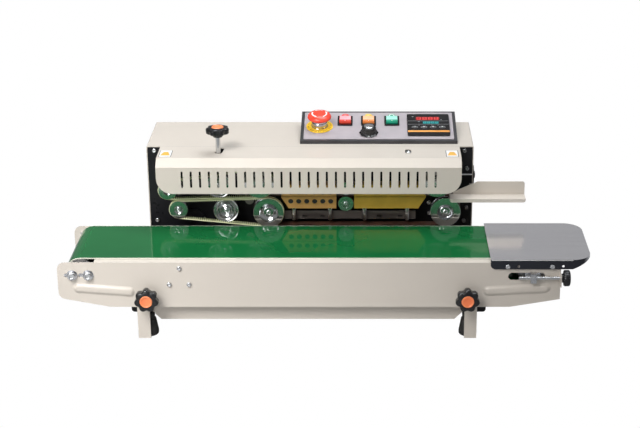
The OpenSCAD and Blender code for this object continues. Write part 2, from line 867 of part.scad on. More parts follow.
module mounting_brackets() {
    block_z0 = seal_z - block_gap - block_h;
    color([0.65, 0.66, 0.68]) {
        for (x = post_x) {
            rod_z([x, post_y], bracket_z + 3, block_z0, post_r);
            translate([x, post_y, bracket_z + 3]) sphere(r = post_r);
        }
        difference() {
            union() {
                block([-71, bracket_y, bracket_z], [149, bracket_y + 2, bracket_z + 14.5]);
                block([-71, bracket_y, bracket_z], [149, plate_y0, bracket_z + 2]);
            }
            for (x = [-40, -10, 85, 120])
                along_y(bracket_y - 1, bracket_y + 3)
                    round_bar([x, bracket_z + 5], [x + 6, bracket_z + 5], 1.2);
        }
        for (x = [[-60, 26], [38, 150]])
            block([x[0], block_y1, seal_z + 8], [x[1], plate_y0, seal_z + 14]);
        block([222, 50, 202], [244, plate_y0, 203.8]);
        difference() {
            block([pressure_at[0] - 12, 16, 224], [pressure_at[0] + 12, plate_y0, 234]);
            rod_z(pressure_at, 223, 235, small_shaft_r + fit);
        }
        rod_y([-129, 167], guide_y1 + 1, plate_y0, 7.5);
        rod_y([-247, 178], guide_y1 + 1, plate_y0, 2.8);
        rod_x([45, 169], 226, 247, 3);
        block([226, 42, 166], [238, plate_y0, 172]);
        block([238, bag_tray_y[1], 178], [262, bag_tray_y[1] + 2, 194]);
        block([238, bag_tray_y[1] + 2, 178], [243, plate_y0, 181]);
    }
}

module gear_motor() {
    y0 = gear_y1 + 6;
    color([0.5, 0.5, 0.52]) {
        difference() {
            block([pinion[0] - 34, y0, 80], [pinion[0] + 34, y0 + 32, 146]);
            rod_y(pinion, y0 - 1, y0 + 14, 5 + fit);
        }
        rod_y([pinion[0], pinion[1]], y0 + 32, back_y0 - 5, 27);
        block([pinion[0] - 26, y0 + 2, head_z0 + sheet], [pinion[0] + 26, y0 + 30, 80]);
    }
}

module motor_pinion() {
    color([0.7, 0.7, 0.72]) {
        along_y(gear_y0, gear_y1) translate(pinion)
            gear_outline(pinion_teeth, pinion_angle + 180 + 180 / pinion_teeth);
        rod_y(pinion, gear_y1, gear_y1 + 18, 5);
    }
}

module drive_gear(at, phase) {
    along_y(gear_y0, gear_y1) difference() {
        translate(at) gear_outline(gear_teeth, phase);
        translate(at) circle(r = shaft_r);
    }
}

module lower_drive_gear() {
    color([0.7, 0.7, 0.72]) drive_gear(lower_drive, mesh_angle);
}

module upper_drive_gear() {
    color([0.7, 0.7, 0.72]) drive_gear(upper_drive, mesh_angle + 180 + tooth_step / 2);
}

// ---------- Conveyor ----------

// Side view of a conveyor panel, with raised lower corners and two round ends at the left
module panel_outline(top) {
    r = panel_corner_r;
    polygon(concat(
        [[panel_x1, top]],
        arc([x_min + r, top - r], r, 90, 180),
        arc([x_min + r, panel_end_z + r], r, 180, 260),
        [[-339, panel_z0], [293, panel_z0], [panel_x1, panel_end_z]]));
}

module panel_holes(y) {
    along_y(y - 1, y + sheet + 1) {
        for (p = bracket_bolts) translate(p) circle(r = 2.5);
        round_bar(tension_slot[0], tension_slot[1], tension_slot_r);
    }
}

module conveyor_front_panel() {
    rib_r = 4.35;
    color([0.87, 0.84, 0.79]) difference() {
        union() {
            along_y(panel_y, panel_y + sheet) panel_outline(panel_z1);
            along_y(panel_y - 2.2, panel_y + 0.1) {
                rib_outline([-387.7, 88.6], [-307.4, 82.2], rib_r);
                rib_outline([259, 83.2], [348, 88.7], rib_r);
            }
            block([-362, panel_y, panel_z1 - sheet], [300, panel_y + 16, panel_z1]);
            block([300, panel_y, panel_z1 - sheet], [panel_x1, panel_y + 11.5, panel_z1]);
            block([tab_x, panel_y, panel_end_z], [panel_x1, panel_y + 16, panel_z1]);
            block([tab_x, -177, 96], [panel_x1, panel_y + sheet, 116]);
        }
        panel_holes(panel_y);
        along_y(panel_y - 1, panel_y + sheet + 1) for (x = left_slot_x)
            round_bar([x + left_slot_r, roller_z], [x + left_slot_len - left_slot_r, roller_z],
                left_slot_r);
        for (x = star_x) rod_y([x, star_z], panel_y - 1, panel_y + 3, stud_r + 0.2);
        for (p = plate_screws) rod_y(p, panel_y - 1, panel_y + 3, 2.5);
        rod_x(tension_rod, tab_x - 1, panel_x1 + 1, tension_rod_r + fit);
    }
}

module conveyor_rear_panel() {
    color([0.87, 0.84, 0.79]) difference() {
        union() {
            along_y(rear_y - sheet, rear_y) panel_outline(rear_z1);
            block([-362, rear_y - 6, rear_z1 - sheet], [plate_x0, rear_y, rear_z1]);
        }
        panel_holes(rear_y - sheet);
    }
}

module belt_bed() {
    top = belt_top - belt_t - 0.1;
    y0 = panel_y + 16.5;
    y1 = -14.5;
    inner_y = [panel_y + sheet, rear_y - sheet];
    color([0.7, 0.71, 0.73]) {
        block([-350, y0, top - sheet], [298, y1, top]);
        for (y = [y0, y1 - sheet]) block([-350, y, top - 12], [298, y + sheet, top - sheet]);
        for (x = tie_x) along_y(inner_y[0], inner_y[1]) difference() {
            translate([x - 21, 91]) square([42, top - 12 - 91]);
            translate([x - 19, 93]) square([38, 60]);
        }
        for (y = [[inner_y[0], -152.3], [-8, inner_y[1]]]) difference() {
            block([-409, y[0], roller_z - 10], [-362, y[1], roller_z + 10]);
            rod_y([drive_roller_x, roller_z], y[0] - 1, y[1] + 1, axle_r + fit);
        }
    }
}

module conveyor_belt() {
    color([0.09, 0.4, 0.19]) along_y(belt_y0, belt_y1) difference() {
        level_loop([drive_roller_x, roller_z], [tail_roller_x, roller_z], belt_inner_r + belt_t);
        level_loop([drive_roller_x, roller_z], [tail_roller_x, roller_z], belt_inner_r);
    }
}

module roller(x) {
    rod_y([x, roller_z], belt_y0 + 1, belt_y1 - 1, roller_r);
    rod_y([x, roller_z], panel_y + sheet + gap, belt_y0 + 1, axle_r);
    rod_y([x, roller_z], belt_y1 - 1, rear_y - sheet - gap, axle_r);
}

module drive_roller() {
    color([0.75, 0.76, 0.78]) roller(drive_roller_x);
}

module tail_roller() {
    color([0.75, 0.76, 0.78]) roller(tail_roller_x);
}

module tension_yokes() {
    yoke_x = [316, 340];
    x = tail_roller_x;
    color([0.78, 0.79, 0.8]) {
        for (y = [[panel_y + sheet + gap, -152.3], [-8, rear_y - sheet - gap]]) difference() {
            block([yoke_x[0], y[0], roller_z - 10], [yoke_x[1], y[1], roller_z + 10]);
            rod_y([x, roller_z], y[0] - 1, y[1] + 1, axle_r + fit);
        }
        difference() {
            union() {
                rod_y([x + 4, tension_slot[0][1]], panel_y - gap - 0.01,
                    panel_y + sheet + gap + 0.01, 4.5);
                block([x - 4.2, -173, 101.2], [x + 5, panel_y - gap, 116.5]);
            }
            rod_x(tension_rod, x - 6, x + 13, tension_rod_r + fit);
            rod_y([x, roller_z], panel_y + sheet, panel_y + 9, axle_r + fit);
        }
    }
}

module tension_knob() {
    color([0.07, 0.07, 0.075]) {
        rod_x(tension_rod, panel_x1 + gap, panel_x1 + 3.8, 6);
        rod_x(tension_rod, panel_x1 + 3.8, panel_x1 + 14, 12.8);
        rod_x(tension_rod, 305, panel_x1 + gap, tension_rod_r);
    }
}

// Lip that follows the plate's round corner and runs out to nothing
module corner_lip(c, z0) {
    intersection() {
        difference() {
            rod_z(c, z0, plate_z1 - sheet, plate_corner_r);
            rod_z(c, z0 - 1, plate_z1, plate_corner_r - sheet);
        }
        along_y(plate_y[0] - 1, c[1]) polygon([
            [c[0], z0], [x_max + 1, plate_z1 - sheet - 2], [x_max + 1, plate_z1],
            [c[0], plate_z1]]);
    }
}

module loading_plate() {
    r = plate_corner_r;
    z0 = plate_z1 - sheet;
    flange_z0 = 122;
    flange_r = 8;
    color([0.62, 0.62, 0.64]) difference() {
        union() {
            translate([0, 0, z0]) linear_extrude(sheet) union() {
                translate([plate_x0, plate_y[0]])
                    square([x_max - r - plate_x0, plate_y[1] - plate_y[0]]);
                round_rect([x_max - 3 * r, plate_y[0]], [x_max, plate_y[1]], r);
            }
            along_y(plate_y[0], plate_y[0] + sheet) polygon(concat(
                [[plate_x0, plate_z1]],
                arc([plate_x0 + flange_r, flange_z0 + flange_r], flange_r, 180, 270),
                [[x_max - r, flange_z0], [x_max - r, plate_z1]]));
            corner_lip([x_max - r, plate_y[0] + r], flange_z0);
            block([356, plate_y[1] - sheet, 112], [370, plate_y[1], z0]);
            block([356, plate_y[1], 112], [370, rear_y - sheet, 118]);
        }
        for (p = concat(plate_screws, [[305, 127], [375, 127]]))
            rod_y(p, plate_y[0] - 1, plate_y[0] + 3, 2);
    }
}

module conveyor_bolts() {
    color([0.78, 0.79, 0.8]) {
        for (p = side_bolts) {
            rod_y(p, panel_y - 1.2, panel_y, 8.6);
            rod_y(p, panel_y - 5.5, panel_y - 1.2, 6.7);
            rod_y([p[0], roller_z], panel_y - 0.01, panel_y + sheet, left_slot_r - 0.4);
        }
        for (p = bracket_bolts) screw_y(p, panel_y, 3.5, 2.4, 2.4, 4);
        for (p = plate_screws) {
            screw_y(p, plate_y[0], 3.6, 2.4, 1.95, 2);
            rod_y(p, plate_y[0] + sheet, panel_y, 3.4);
        }
        for (x = star_x) difference() {
            block([x - 7, leg_y + leg_t + gap, star_z - 7], [x + 7, -151.5, star_z + 7]);
            rod_y([x, star_z], leg_y, -150, stud_r + fit);
        }
    }
}

module star_outline() {
    circle(r = 15.5);
    for (i = [0:6]) rotate(90 + i * 360 / 7) translate([14, 0]) circle(r = 5.8);
}

module star_knob(x) {
    y1 = panel_y - gap;
    color([0.07, 0.07, 0.075]) {
        translate([x, 0, star_z]) along_y(y_front + 2, y_front + 18) star_outline();
        rod_y([x, star_z], y_front, y_front + 2, 10);
        rod_y([x, star_z], y_front + 18, y1, 8);
        rod_y([x, star_z], y1, -151, stud_r);
    }
}

module star_knob_left() {
    star_knob(star_x[0]);
}

module star_knob_right() {
    star_knob(star_x[1]);
}

// ---------- Nodes ----------

base_tray();
foot_bars();
rubber_feet();
front_legs();
head_housing();
back_cover();
front_plate();
front_cover();
head_screws();
bag_tray();
tray_knob();
fan_guard();
fan_rotor();
power_inlet();
control_console();
console_plate();
switch_housings();
estop_stem();
estop_head();
rocker_red();
rocker_orange();
rocker_green();
speed_knob();
temperature_controller();
controller_button(0);  // controller_button_1
controller_button(1);  // controller_button_2
controller_button(2);  // controller_button_3
controller_button(3);  // controller_button_4
lower_drive_wheel();
upper_drive_wheel();
lower_idler_wheel();
upper_idler_wheel();
sealing_bands();
lower_guide_wheel();
upper_guide_wheel();
guide_belts();
lower_emboss_wheel();
upper_emboss_wheel();
lower_press_wheel();
upper_press_wheel();
heating_blocks();
cooling_blocks();
mounting_brackets();
pressure_knob();
gear_motor();
motor_pinion();
lower_drive_gear();
upper_drive_gear();
conveyor_front_panel();
conveyor_rear_panel();
belt_bed();
conveyor_belt();
drive_roller();
tail_roller();
tension_yokes();
tension_knob();
loading_plate();
conveyor_bolts();
star_knob_left();
star_knob_right();
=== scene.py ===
"""Looks for the continuous band sealer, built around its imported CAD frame.

Units are metres in the frame's own axes: X along the conveyor, Y away from the operator, Z up.
Most places come from the CAD nodes' boxes, and the rest are named values in millimetres.
"""

import math

import bmesh
import bpy
from mathutils import Matrix, Vector


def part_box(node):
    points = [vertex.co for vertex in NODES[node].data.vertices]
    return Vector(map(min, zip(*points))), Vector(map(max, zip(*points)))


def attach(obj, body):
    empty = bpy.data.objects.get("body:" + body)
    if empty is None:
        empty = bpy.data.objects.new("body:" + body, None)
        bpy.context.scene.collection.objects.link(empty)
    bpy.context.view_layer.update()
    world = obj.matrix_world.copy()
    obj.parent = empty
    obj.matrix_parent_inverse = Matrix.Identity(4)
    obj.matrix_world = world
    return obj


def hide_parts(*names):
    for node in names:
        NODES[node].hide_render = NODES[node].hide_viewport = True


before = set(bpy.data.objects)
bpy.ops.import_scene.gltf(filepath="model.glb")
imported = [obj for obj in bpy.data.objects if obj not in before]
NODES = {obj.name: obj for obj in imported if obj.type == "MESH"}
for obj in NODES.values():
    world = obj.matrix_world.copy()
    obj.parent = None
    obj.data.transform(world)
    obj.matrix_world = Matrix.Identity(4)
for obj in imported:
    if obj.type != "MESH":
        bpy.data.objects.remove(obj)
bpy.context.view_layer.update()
MM = 0.001
ROOT = "stand_and_head"
FRONT = Vector((0, -1, 0))
UP = Vector((0, 0, 1))

# ------------------------ camera, light and stage

CAMERA_AT = (0.064, -2.400, 1.082)
CAMERA_PITCH = 21.2
CAMERA_LENS = 87.2
CAMERA_SHIFT_X = -0.0703
SENSOR_WIDTH = 36.0
WHITE = (1.0, 1.0, 1.0)
ROOM_STRENGTH = 0.26
FLOOR_SIZE = 9.0
# Area lights: name, place, target, size, power, spread in degrees, colour
LIGHTS = (
    ("key", (-0.85, -1.35, 1.55), (-0.40, -0.12, 0.12), (1.0, 1.0), 5.5, 55, WHITE),
    ("low", (-0.75, -1.30, 0.30), (-0.25, -0.16, 0.09), (0.8, 0.3), 0.9, 100, WHITE),
    ("top", (0.45, 0.35, 2.0), (0.20, 0, 0.1), (1.8, 0.8), 29, 180, (0.92, 0.96, 1.0)),
)


def make_camera():
    data = bpy.data.cameras.new("camera")
    data.lens = CAMERA_LENS
    data.sensor_width = SENSOR_WIDTH
    data.shift_x = CAMERA_SHIFT_X
    data.clip_end = 50.0
    camera = bpy.data.objects.new("camera", data)
    camera.location = CAMERA_AT
    camera.rotation_euler = (math.radians(90 - CAMERA_PITCH), 0, 0)
    bpy.context.scene.collection.objects.link(camera)
    bpy.context.scene.camera = camera


def area_light(name, at, target, size, power, spread, color):
    data = bpy.data.lights.new(name, "AREA")
    data.shape = "RECTANGLE"
    data.size, data.size_y = size
    data.energy = power
    data.color = color
    data.spread = math.radians(spread)
    light = bpy.data.objects.new(name, data)
    light.location = at
    light.rotation_euler = (Vector(target) - Vector(at)).to_track_quat("-Z", "Y").to_euler()
    bpy.context.scene.collection.objects.link(light)


def seen_or_lit(tree, seen, lit):
    """Mixes two shaders: the first for the camera, the second for light on the object."""
    path = tree.nodes.new("ShaderNodeLightPath")
    mix = tree.nodes.new("ShaderNodeMixShader")
    tree.links.new(path.outputs["Is Camera Ray"], mix.inputs["Fac"])
    tree.links.new(lit.outputs[0], mix.inputs[1])
    tree.links.new(seen.outputs[0], mix.inputs[2])
    return mix


def make_light():
    world = bpy.data.worlds.new("studio")
    world.use_nodes = True
    tree = world.node_tree
    lit = tree.nodes["Background"]
    lit.inputs["Color"].default_value = (*WHITE, 1.0)
    lit.inputs["Strength"].default_value = ROOM_STRENGTH
    seen = tree.nodes.new("ShaderNodeBackground")
    seen.inputs["Color"].default_value = (*WHITE, 1.0)
    mix = seen_or_lit(tree, seen, lit)
    tree.links.new(mix.outputs[0], tree.nodes["World Output"].inputs["Surface"])
    bpy.context.scene.world = world
    for light in LIGHTS:
        area_light(*light)
    bpy.context.scene.view_settings.view_transform = "Standard"


def make_stage():
    """A white floor: plain white to the camera, softly lit where it lights the object."""
    bm = bmesh.new()
    bmesh.ops.create_grid(bm, x_segments=1, y_segments=1, size=FLOOR_SIZE)
    floor = mesh_object("floor", bm)
    material = Shader("floor_white", (0.33, 0.33, 0.33), 0.6).done()
    tree = material.node_tree
    seen = tree.nodes.new("ShaderNodeEmission")
    seen.inputs["Strength"].default_value = 1.0
    mix = seen_or_lit(tree, seen, tree.nodes["Principled BSDF"])
    tree.links.new(mix.outputs[0], tree.nodes["Material Output"].inputs["Surface"])
    floor.data.materials.append(material)


# ------------------------ mesh helpers


def mesh_object(name, bm):
    """A linked object that holds the finished bmesh."""
    mesh = bpy.data.meshes.new(name)
    bm.to_mesh(mesh)
    bm.free()
    obj = bpy.data.objects.new(name, mesh)
    bpy.context.scene.collection.objects.link(obj)
    return obj


def bevel(obj, width):
    mod = obj.modifiers.new("edges", "BEVEL")
    mod.width = width
    mod.segments = 2
    mod.limit_method = "ANGLE"
    mod.angle_limit = math.radians(35)


def shade(obj, angle):
    """Smooth shading that keeps edges sharper than the angle."""
    obj.data.shade_smooth()
    obj.data.set_sharp_from_angle(angle=math.radians(angle))


def piece(name, bm, material, body, replaces=(), edge=None, angle=32):
    """Finishes a piece: mesh, shading, bevelled edges, material and the body it rides on."""
    bmesh.ops.recalc_face_normals(bm, faces=bm.faces)
    obj = mesh_object(name, bm)
    shade(obj, angle)
    if edge:
        bevel(obj, edge)
    obj.data.materials.append(MATERIALS[material])
    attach(obj, body)
    if replaces:
        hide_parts(*replaces)


def basis(at, axis, up=UP):
    """Matrix that puts a shape's +Z along axis and its origin at a point."""
    z = Vector(axis).normalized()
    up = Vector(up)
    if abs(z.dot(up)) > 0.99:
        up = Vector((0, 1, 0))
    x = up.cross(z).normalized()
    y = z.cross(x)
    turn = Matrix((x, y, z)).transposed().to_4x4()
    return Matrix.Translation(Vector(at)) @ turn


def skirt(bm, low, high):
    """Joins two closed loops of as many vertices with a row of faces."""
    for i in range(len(low)):
        j = (i + 1) % len(low)
        bm.faces.new((low[i], low[j], high[j], high[i]))


def polar(r, a, h):
    return Vector((r * math.cos(a), r * math.sin(a), h))


def wave(count, a):
    """Goes from 0 to 1 and back, count times round a circle."""
    return 0.5 - 0.5 * math.cos(count * a)


def lathe(bm, profile, matrix, steps, ripple=None):
    """Turns (radius, height) points round +Z; ripple(angle, radius, height) alters a radius."""
    rings = []
    for r, h in profile:
        if r < 1e-6:
            rings.append([bm.verts.new(matrix @ Vector((0, 0, h)))])
            continue
        ring = []
        for i in range(steps):
            a = 2 * math.pi * i / steps
            q = ripple(a, r, h) if ripple else r
            ring.append(bm.verts.new(matrix @ polar(q, a, h)))
        rings.append(ring)
    for low, high in zip(rings, rings[1:]):
        if len(low) > 1 and len(high) > 1:
            skirt(bm, low, high)
            continue
        for i in range(max(len(low), len(high))):
            j = (i + 1) % steps
            if len(high) > 1:
                bm.faces.new((low[0], high[j], high[i]))
            elif len(low) > 1:
                bm.faces.new((low[i], low[j], high[0]))
    return bm


def prism(bm, outline, matrix, h0, h1):
    """A closed prism from a flat outline of (x, y) points."""
    low = [bm.verts.new(matrix @ Vector((x, y, h0))) for x, y in outline]
    high = [bm.verts.new(matrix @ Vector((x, y, h1))) for x, y in outline]
    bm.faces.new(list(reversed(low)))
    bm.faces.new(high)
    skirt(bm, low, high)
    return bm


def ring_prism(bm, outer, inner, matrix, h0, h1):
    """A frame between two outlines with the same number of points."""
    loops = []
    for outline, h in ((outer, h1), (inner, h1), (inner, h0), (outer, h0)):
        loops.append([bm.verts.new(matrix @ Vector((x, y, h))) for x, y in outline])
    for k in range(4):
        skirt(bm, loops[k], loops[(k + 1) % 4])
    return bm


def turned(name, profile, matrix, steps, material, body, ripple=None, **finish):
    """A piece that is one lathe shape."""
    piece(name, lathe(bmesh.new(), profile, matrix, steps, ripple), material, body, **finish)


def rectangle(x0, y0, x1, y1):
    return [(x0, y0), (x1, y0), (x1, y1), (x0, y1)]


def arc_points(r, a0, a1, steps):
    """Points on an arc round the origin, from one angle in degrees to another."""
    angles = [math.radians(a0 + (a1 - a0) * i / steps) for i in range(steps + 1)]
    return [(r * math.cos(a), r * math.sin(a)) for a in angles]


def rounded_rect(w, h, r, steps, at=(0, 0)):
    """Outline of a rectangle with round corners, centred on a point."""
    out = []
    for cx, cy, a0 in ((1, 1, 0), (-1, 1, 90), (-1, -1, 180), (1, -1, 270)):
        for i in range(steps + 1):
            a = math.radians(a0 + 90 * i / steps)
            x = at[0] + cx * (w / 2 - r) + r * math.cos(a)
            y = at[1] + cy * (h / 2 - r) + r * math.sin(a)
            out.append((x, y))
    return out


def islands(node):
    """Boxes of a CAD node's separate solids, as (low, high), from left to right."""
    mesh = NODES[node].data
    keys = [tuple(round(c * 1e5) for c in v.co) for v in mesh.vertices]
    parent = {k: k for k in keys}

    def top(k):
        while parent[k] != k:
            parent[k] = parent[parent[k]]
            k = parent[k]
        return k

    for e in mesh.edges:
        a, b = (top(keys[i]) for i in e.vertices)
        parent[a] = b
    groups = {}
    for v, k in zip(mesh.vertices, keys):
        groups.setdefault(top(k), []).append(v.co)
    boxes = []
    for points in groups.values():
        low = Vector([min(p[i] for p in points) for i in range(3)])
        high = Vector([max(p[i] for p in points) for i in range(3)])
        boxes.append((low, high))
    return sorted(boxes, key=lambda b: (round(b[0].x, 4), b[0].z))


# ------------------------ materials

MATERIALS = {}


class Shader:
    """A Principled material with small helpers for procedural detail."""

    def __init__(self, name, color, rough, metal=0.0):
        self.name = name
        self.material = bpy.data.materials.new(name)
        self.material.use_nodes = True
        self.nodes = self.material.node_tree.nodes
        self.links = self.material.node_tree.links
        self.out = self.nodes["Principled BSDF"]
        self.out.inputs["Base Color"].default_value = (*color, 1.0)
        self.out.inputs["Roughness"].default_value = rough
        self.out.inputs["Metallic"].default_value = metal
        self.color = color
        self.rough = rough
        self.last_bump = None

    def set(self, **values):
        for key, value in values.items():
            self.out.inputs[key.replace("_", " ")].default_value = value
        return self

    def node(self, kind, **inputs):
        made = self.nodes.new(kind)
        for key, value in inputs.items():
            made.inputs[key].default_value = value
        return made

    def place(self, scale):
        """Object coordinates, stretched along an axis for grain."""
        coord = self.nodes.new("ShaderNodeTexCoord")
        mapping = self.node("ShaderNodeMapping", Scale=scale)
        self.links.new(coord.outputs["Object"], mapping.inputs["Vector"])
        return mapping.outputs["Vector"]

    def noise(self, scale, detail=3.0, rough=0.5, stretch=(1, 1, 1)):
        noise = self.node("ShaderNodeTexNoise", Scale=scale, Detail=detail, Roughness=rough)
        self.links.new(self.place(stretch), noise.inputs["Vector"])
        return noise.outputs["Fac"]

    def ramp(self, value, low, high, a, b):
        """Maps a value between low and high to a number between a and b."""
        ramp = self.node("ShaderNodeMapRange")
        ramp.inputs["From Min"].default_value = low
        ramp.inputs["From Max"].default_value = high
        ramp.inputs["To Min"].default_value = a
        ramp.inputs["To Max"].default_value = b
        self.links.new(value, ramp.inputs["Value"])
        return ramp.outputs["Result"]

    def vary_color(self, value, other, low=0.35, high=0.65):
        """Blends the base colour towards another one by a value."""
        mix = self.nodes.new("ShaderNodeMix")
        mix.data_type = "RGBA"
        factor = self.ramp(value, low, high, 0.0, 1.0)
        self.links.new(factor, mix.inputs["Factor"])
        source = self.out.inputs["Base Color"]
        if source.links:
            self.links.new(source.links[0].from_socket, mix.inputs["A"])
        else:
            mix.inputs["A"].default_value = (*self.color, 1.0)
        mix.inputs["B"].default_value = (*other, 1.0)
        self.links.new(mix.outputs["Result"], source)
        return self

    def vary_rough(self, value, a, b, low=0.3, high=0.7):
        self.links.new(self.ramp(value, low, high, a, b), self.out.inputs["Roughness"])
        return self

    def bump(self, value, distance, strength):
        bump = self.node("ShaderNodeBump", Strength=strength, Distance=distance)
        self.links.new(value, bump.inputs["Height"])
        if self.last_bump:
            self.links.new(self.last_bump.outputs["Normal"], bump.inputs["Normal"])
        self.links.new(bump.outputs["Normal"], self.out.inputs["Normal"])
        self.last_bump = bump
        return self

    def paint_front_reflection(self, other):
        """Painted reflection: blends to another colour where the surface faces the operator."""
        normal = self.nodes.new("ShaderNodeNewGeometry")
        parts = self.nodes.new("ShaderNodeSeparateXYZ")
        self.links.new(normal.outputs["True Normal"], parts.inputs["Vector"])
        return self.vary_color(parts.outputs["Y"], other, -0.45, -0.8)

    def done(self):
        MATERIALS[self.name] = self.material
        return self.material


def powder_coat(name, color, dusty):
    """Baked paint: a fine orange peel, a slight clear gloss and cloudy colour."""
    s = Shader(name, color, 0.38)
    s.set(Coat_Weight=0.25, Coat_Roughness=0.22)
    s.vary_color(s.noise(9, 4), dusty)
    s.vary_rough(s.noise(30, 4), 0.33, 0.45)
    s.bump(s.noise(2600, 2), 0.00004, 0.35)
    s.bump(s.noise(420, 2), 0.00009, 0.25)
    s.done()


def black_paint():
    s = Shader("black_paint", (0.008, 0.008, 0.010), 0.32)
    s.set(Specular_IOR_Level=0.2)
    s.vary_color(s.noise(14, 5), (0.016, 0.016, 0.018))
    s.vary_rough(s.noise(60, 5), 0.26, 0.42)
    s.bump(s.noise(1500, 2), 0.00005, 0.3)
    s.done()


def brushed(name, color, rough, stretch):
    """Metal with fine grain along one axis."""
    s = Shader(name, color, rough, 1.0)
    grain = s.noise(220, 4, 0.6, stretch)
    s.vary_color(grain, tuple(c * 0.86 for c in color), 0.4, 0.75)
    s.vary_rough(s.noise(160, 3, 0.5, stretch), rough * 0.8, rough * 1.35)
    s.bump(grain, 0.00002, 0.5)
    s.done()


def stainless():
    """Satin stainless sheet; its upright front flange gets a painted dark reflection of the room.
    """
    s = Shader("stainless", (0.84, 0.83, 0.86), 0.13, 0.82)
    s.vary_color(s.noise(200, 3, 0.5, (0.04, 1, 1)), (0.81, 0.80, 0.83), 0.4, 0.75)
    s.vary_rough(s.noise(40, 3), 0.11, 0.15)
    s.paint_front_reflection((0.048, 0.051, 0.062)).done()


def turned_chrome():
    s = Shader("turned_chrome", (0.66, 0.67, 0.68), 0.12, 1.0)
    s.vary_rough(s.noise(130, 4), 0.09, 0.17)
    s.vary_color(s.noise(40, 3), (0.60, 0.61, 0.62))
    s.bump(s.noise(900, 2), 0.000006, 0.3)
    s.done()


def bright_steel():
    """Bright plated steel of screws and rods."""
    s = Shader("bright_steel", (0.80, 0.81, 0.82), 0.16, 1.0)
    s.vary_rough(s.noise(260, 3), 0.12, 0.24)
    s.vary_color(s.noise(90, 3), (0.70, 0.71, 0.73))
    s.done()


def zinc():
    s = Shader("zinc", (0.70, 0.71, 0.73), 0.26, 1.0)
    s.vary_color(s.noise(150, 5), (0.56, 0.57, 0.60))
    s.vary_rough(s.noise(220, 4), 0.18, 0.36)
    s.bump(s.noise(700, 2), 0.00002, 0.4)
    s.done()


def brass(name, color):
    """Milled brass, a little oxidised."""
    s = Shader(name, color, 0.42, 0.25)
    s.vary_color(s.noise(26, 5), tuple(c * 0.8 for c in color))
    s.vary_color(s.noise(300, 3, 0.6, (0.25, 1, 6)), tuple(c * 1.12 for c in color), 0.5, 0.9)
    s.vary_rough(s.noise(90, 4), 0.28, 0.5)
    s.bump(s.noise(500, 3, 0.6, (0.2, 1, 4)), 0.00003, 0.5)
    s.done()


def belt_pvc():
    """Smooth green PVC with a wet gloss."""
    s = Shader("belt_pvc", (0.006, 0.108, 0.030), 0.06)
    s.set(Specular_IOR_Level=0.36, Coat_Weight=0.05, Coat_Roughness=0.05)
    s.vary_color(s.noise(6, 3), (0.009, 0.135, 0.038))
    s.vary_rough(s.noise(18, 4), 0.035, 0.085)
    s.bump(s.noise(60, 2), 0.00006, 0.05)
    s.done()


def rubber():
    s = Shader("rubber", (0.014, 0.014, 0.014), 0.62)
    s.vary_color(s.noise(60, 4), (0.026, 0.025, 0.024))
    s.vary_rough(s.noise(90, 4), 0.5, 0.75)
    s.bump(s.noise(900, 3), 0.00006, 0.5)
    s.done()


def moulded(name, color, rough, other, grain=0.00005):
    """Moulded plastic with a fine spark-eroded grain."""
    s = Shader(name, color, rough)
    s.vary_color(s.noise(45, 3), other)
    s.vary_rough(s.noise(120, 3), rough * 0.85, rough * 1.2)
    s.bump(s.noise(1700, 2), grain, 0.4)
    s.done()


def band_cloth():
    """Brown coated glass cloth."""
    s = Shader("band_cloth", (0.105, 0.050, 0.030), 0.34)
    s.set(Coat_Weight=0.2, Coat_Roughness=0.3)
    s.vary_color(s.noise(50, 5), (0.060, 0.030, 0.020))
    s.bump(s.noise(1400, 2, 0.5, (1, 1, 0.3)), 0.00004, 0.5)
    s.done()


SMOOTH = 0.00001
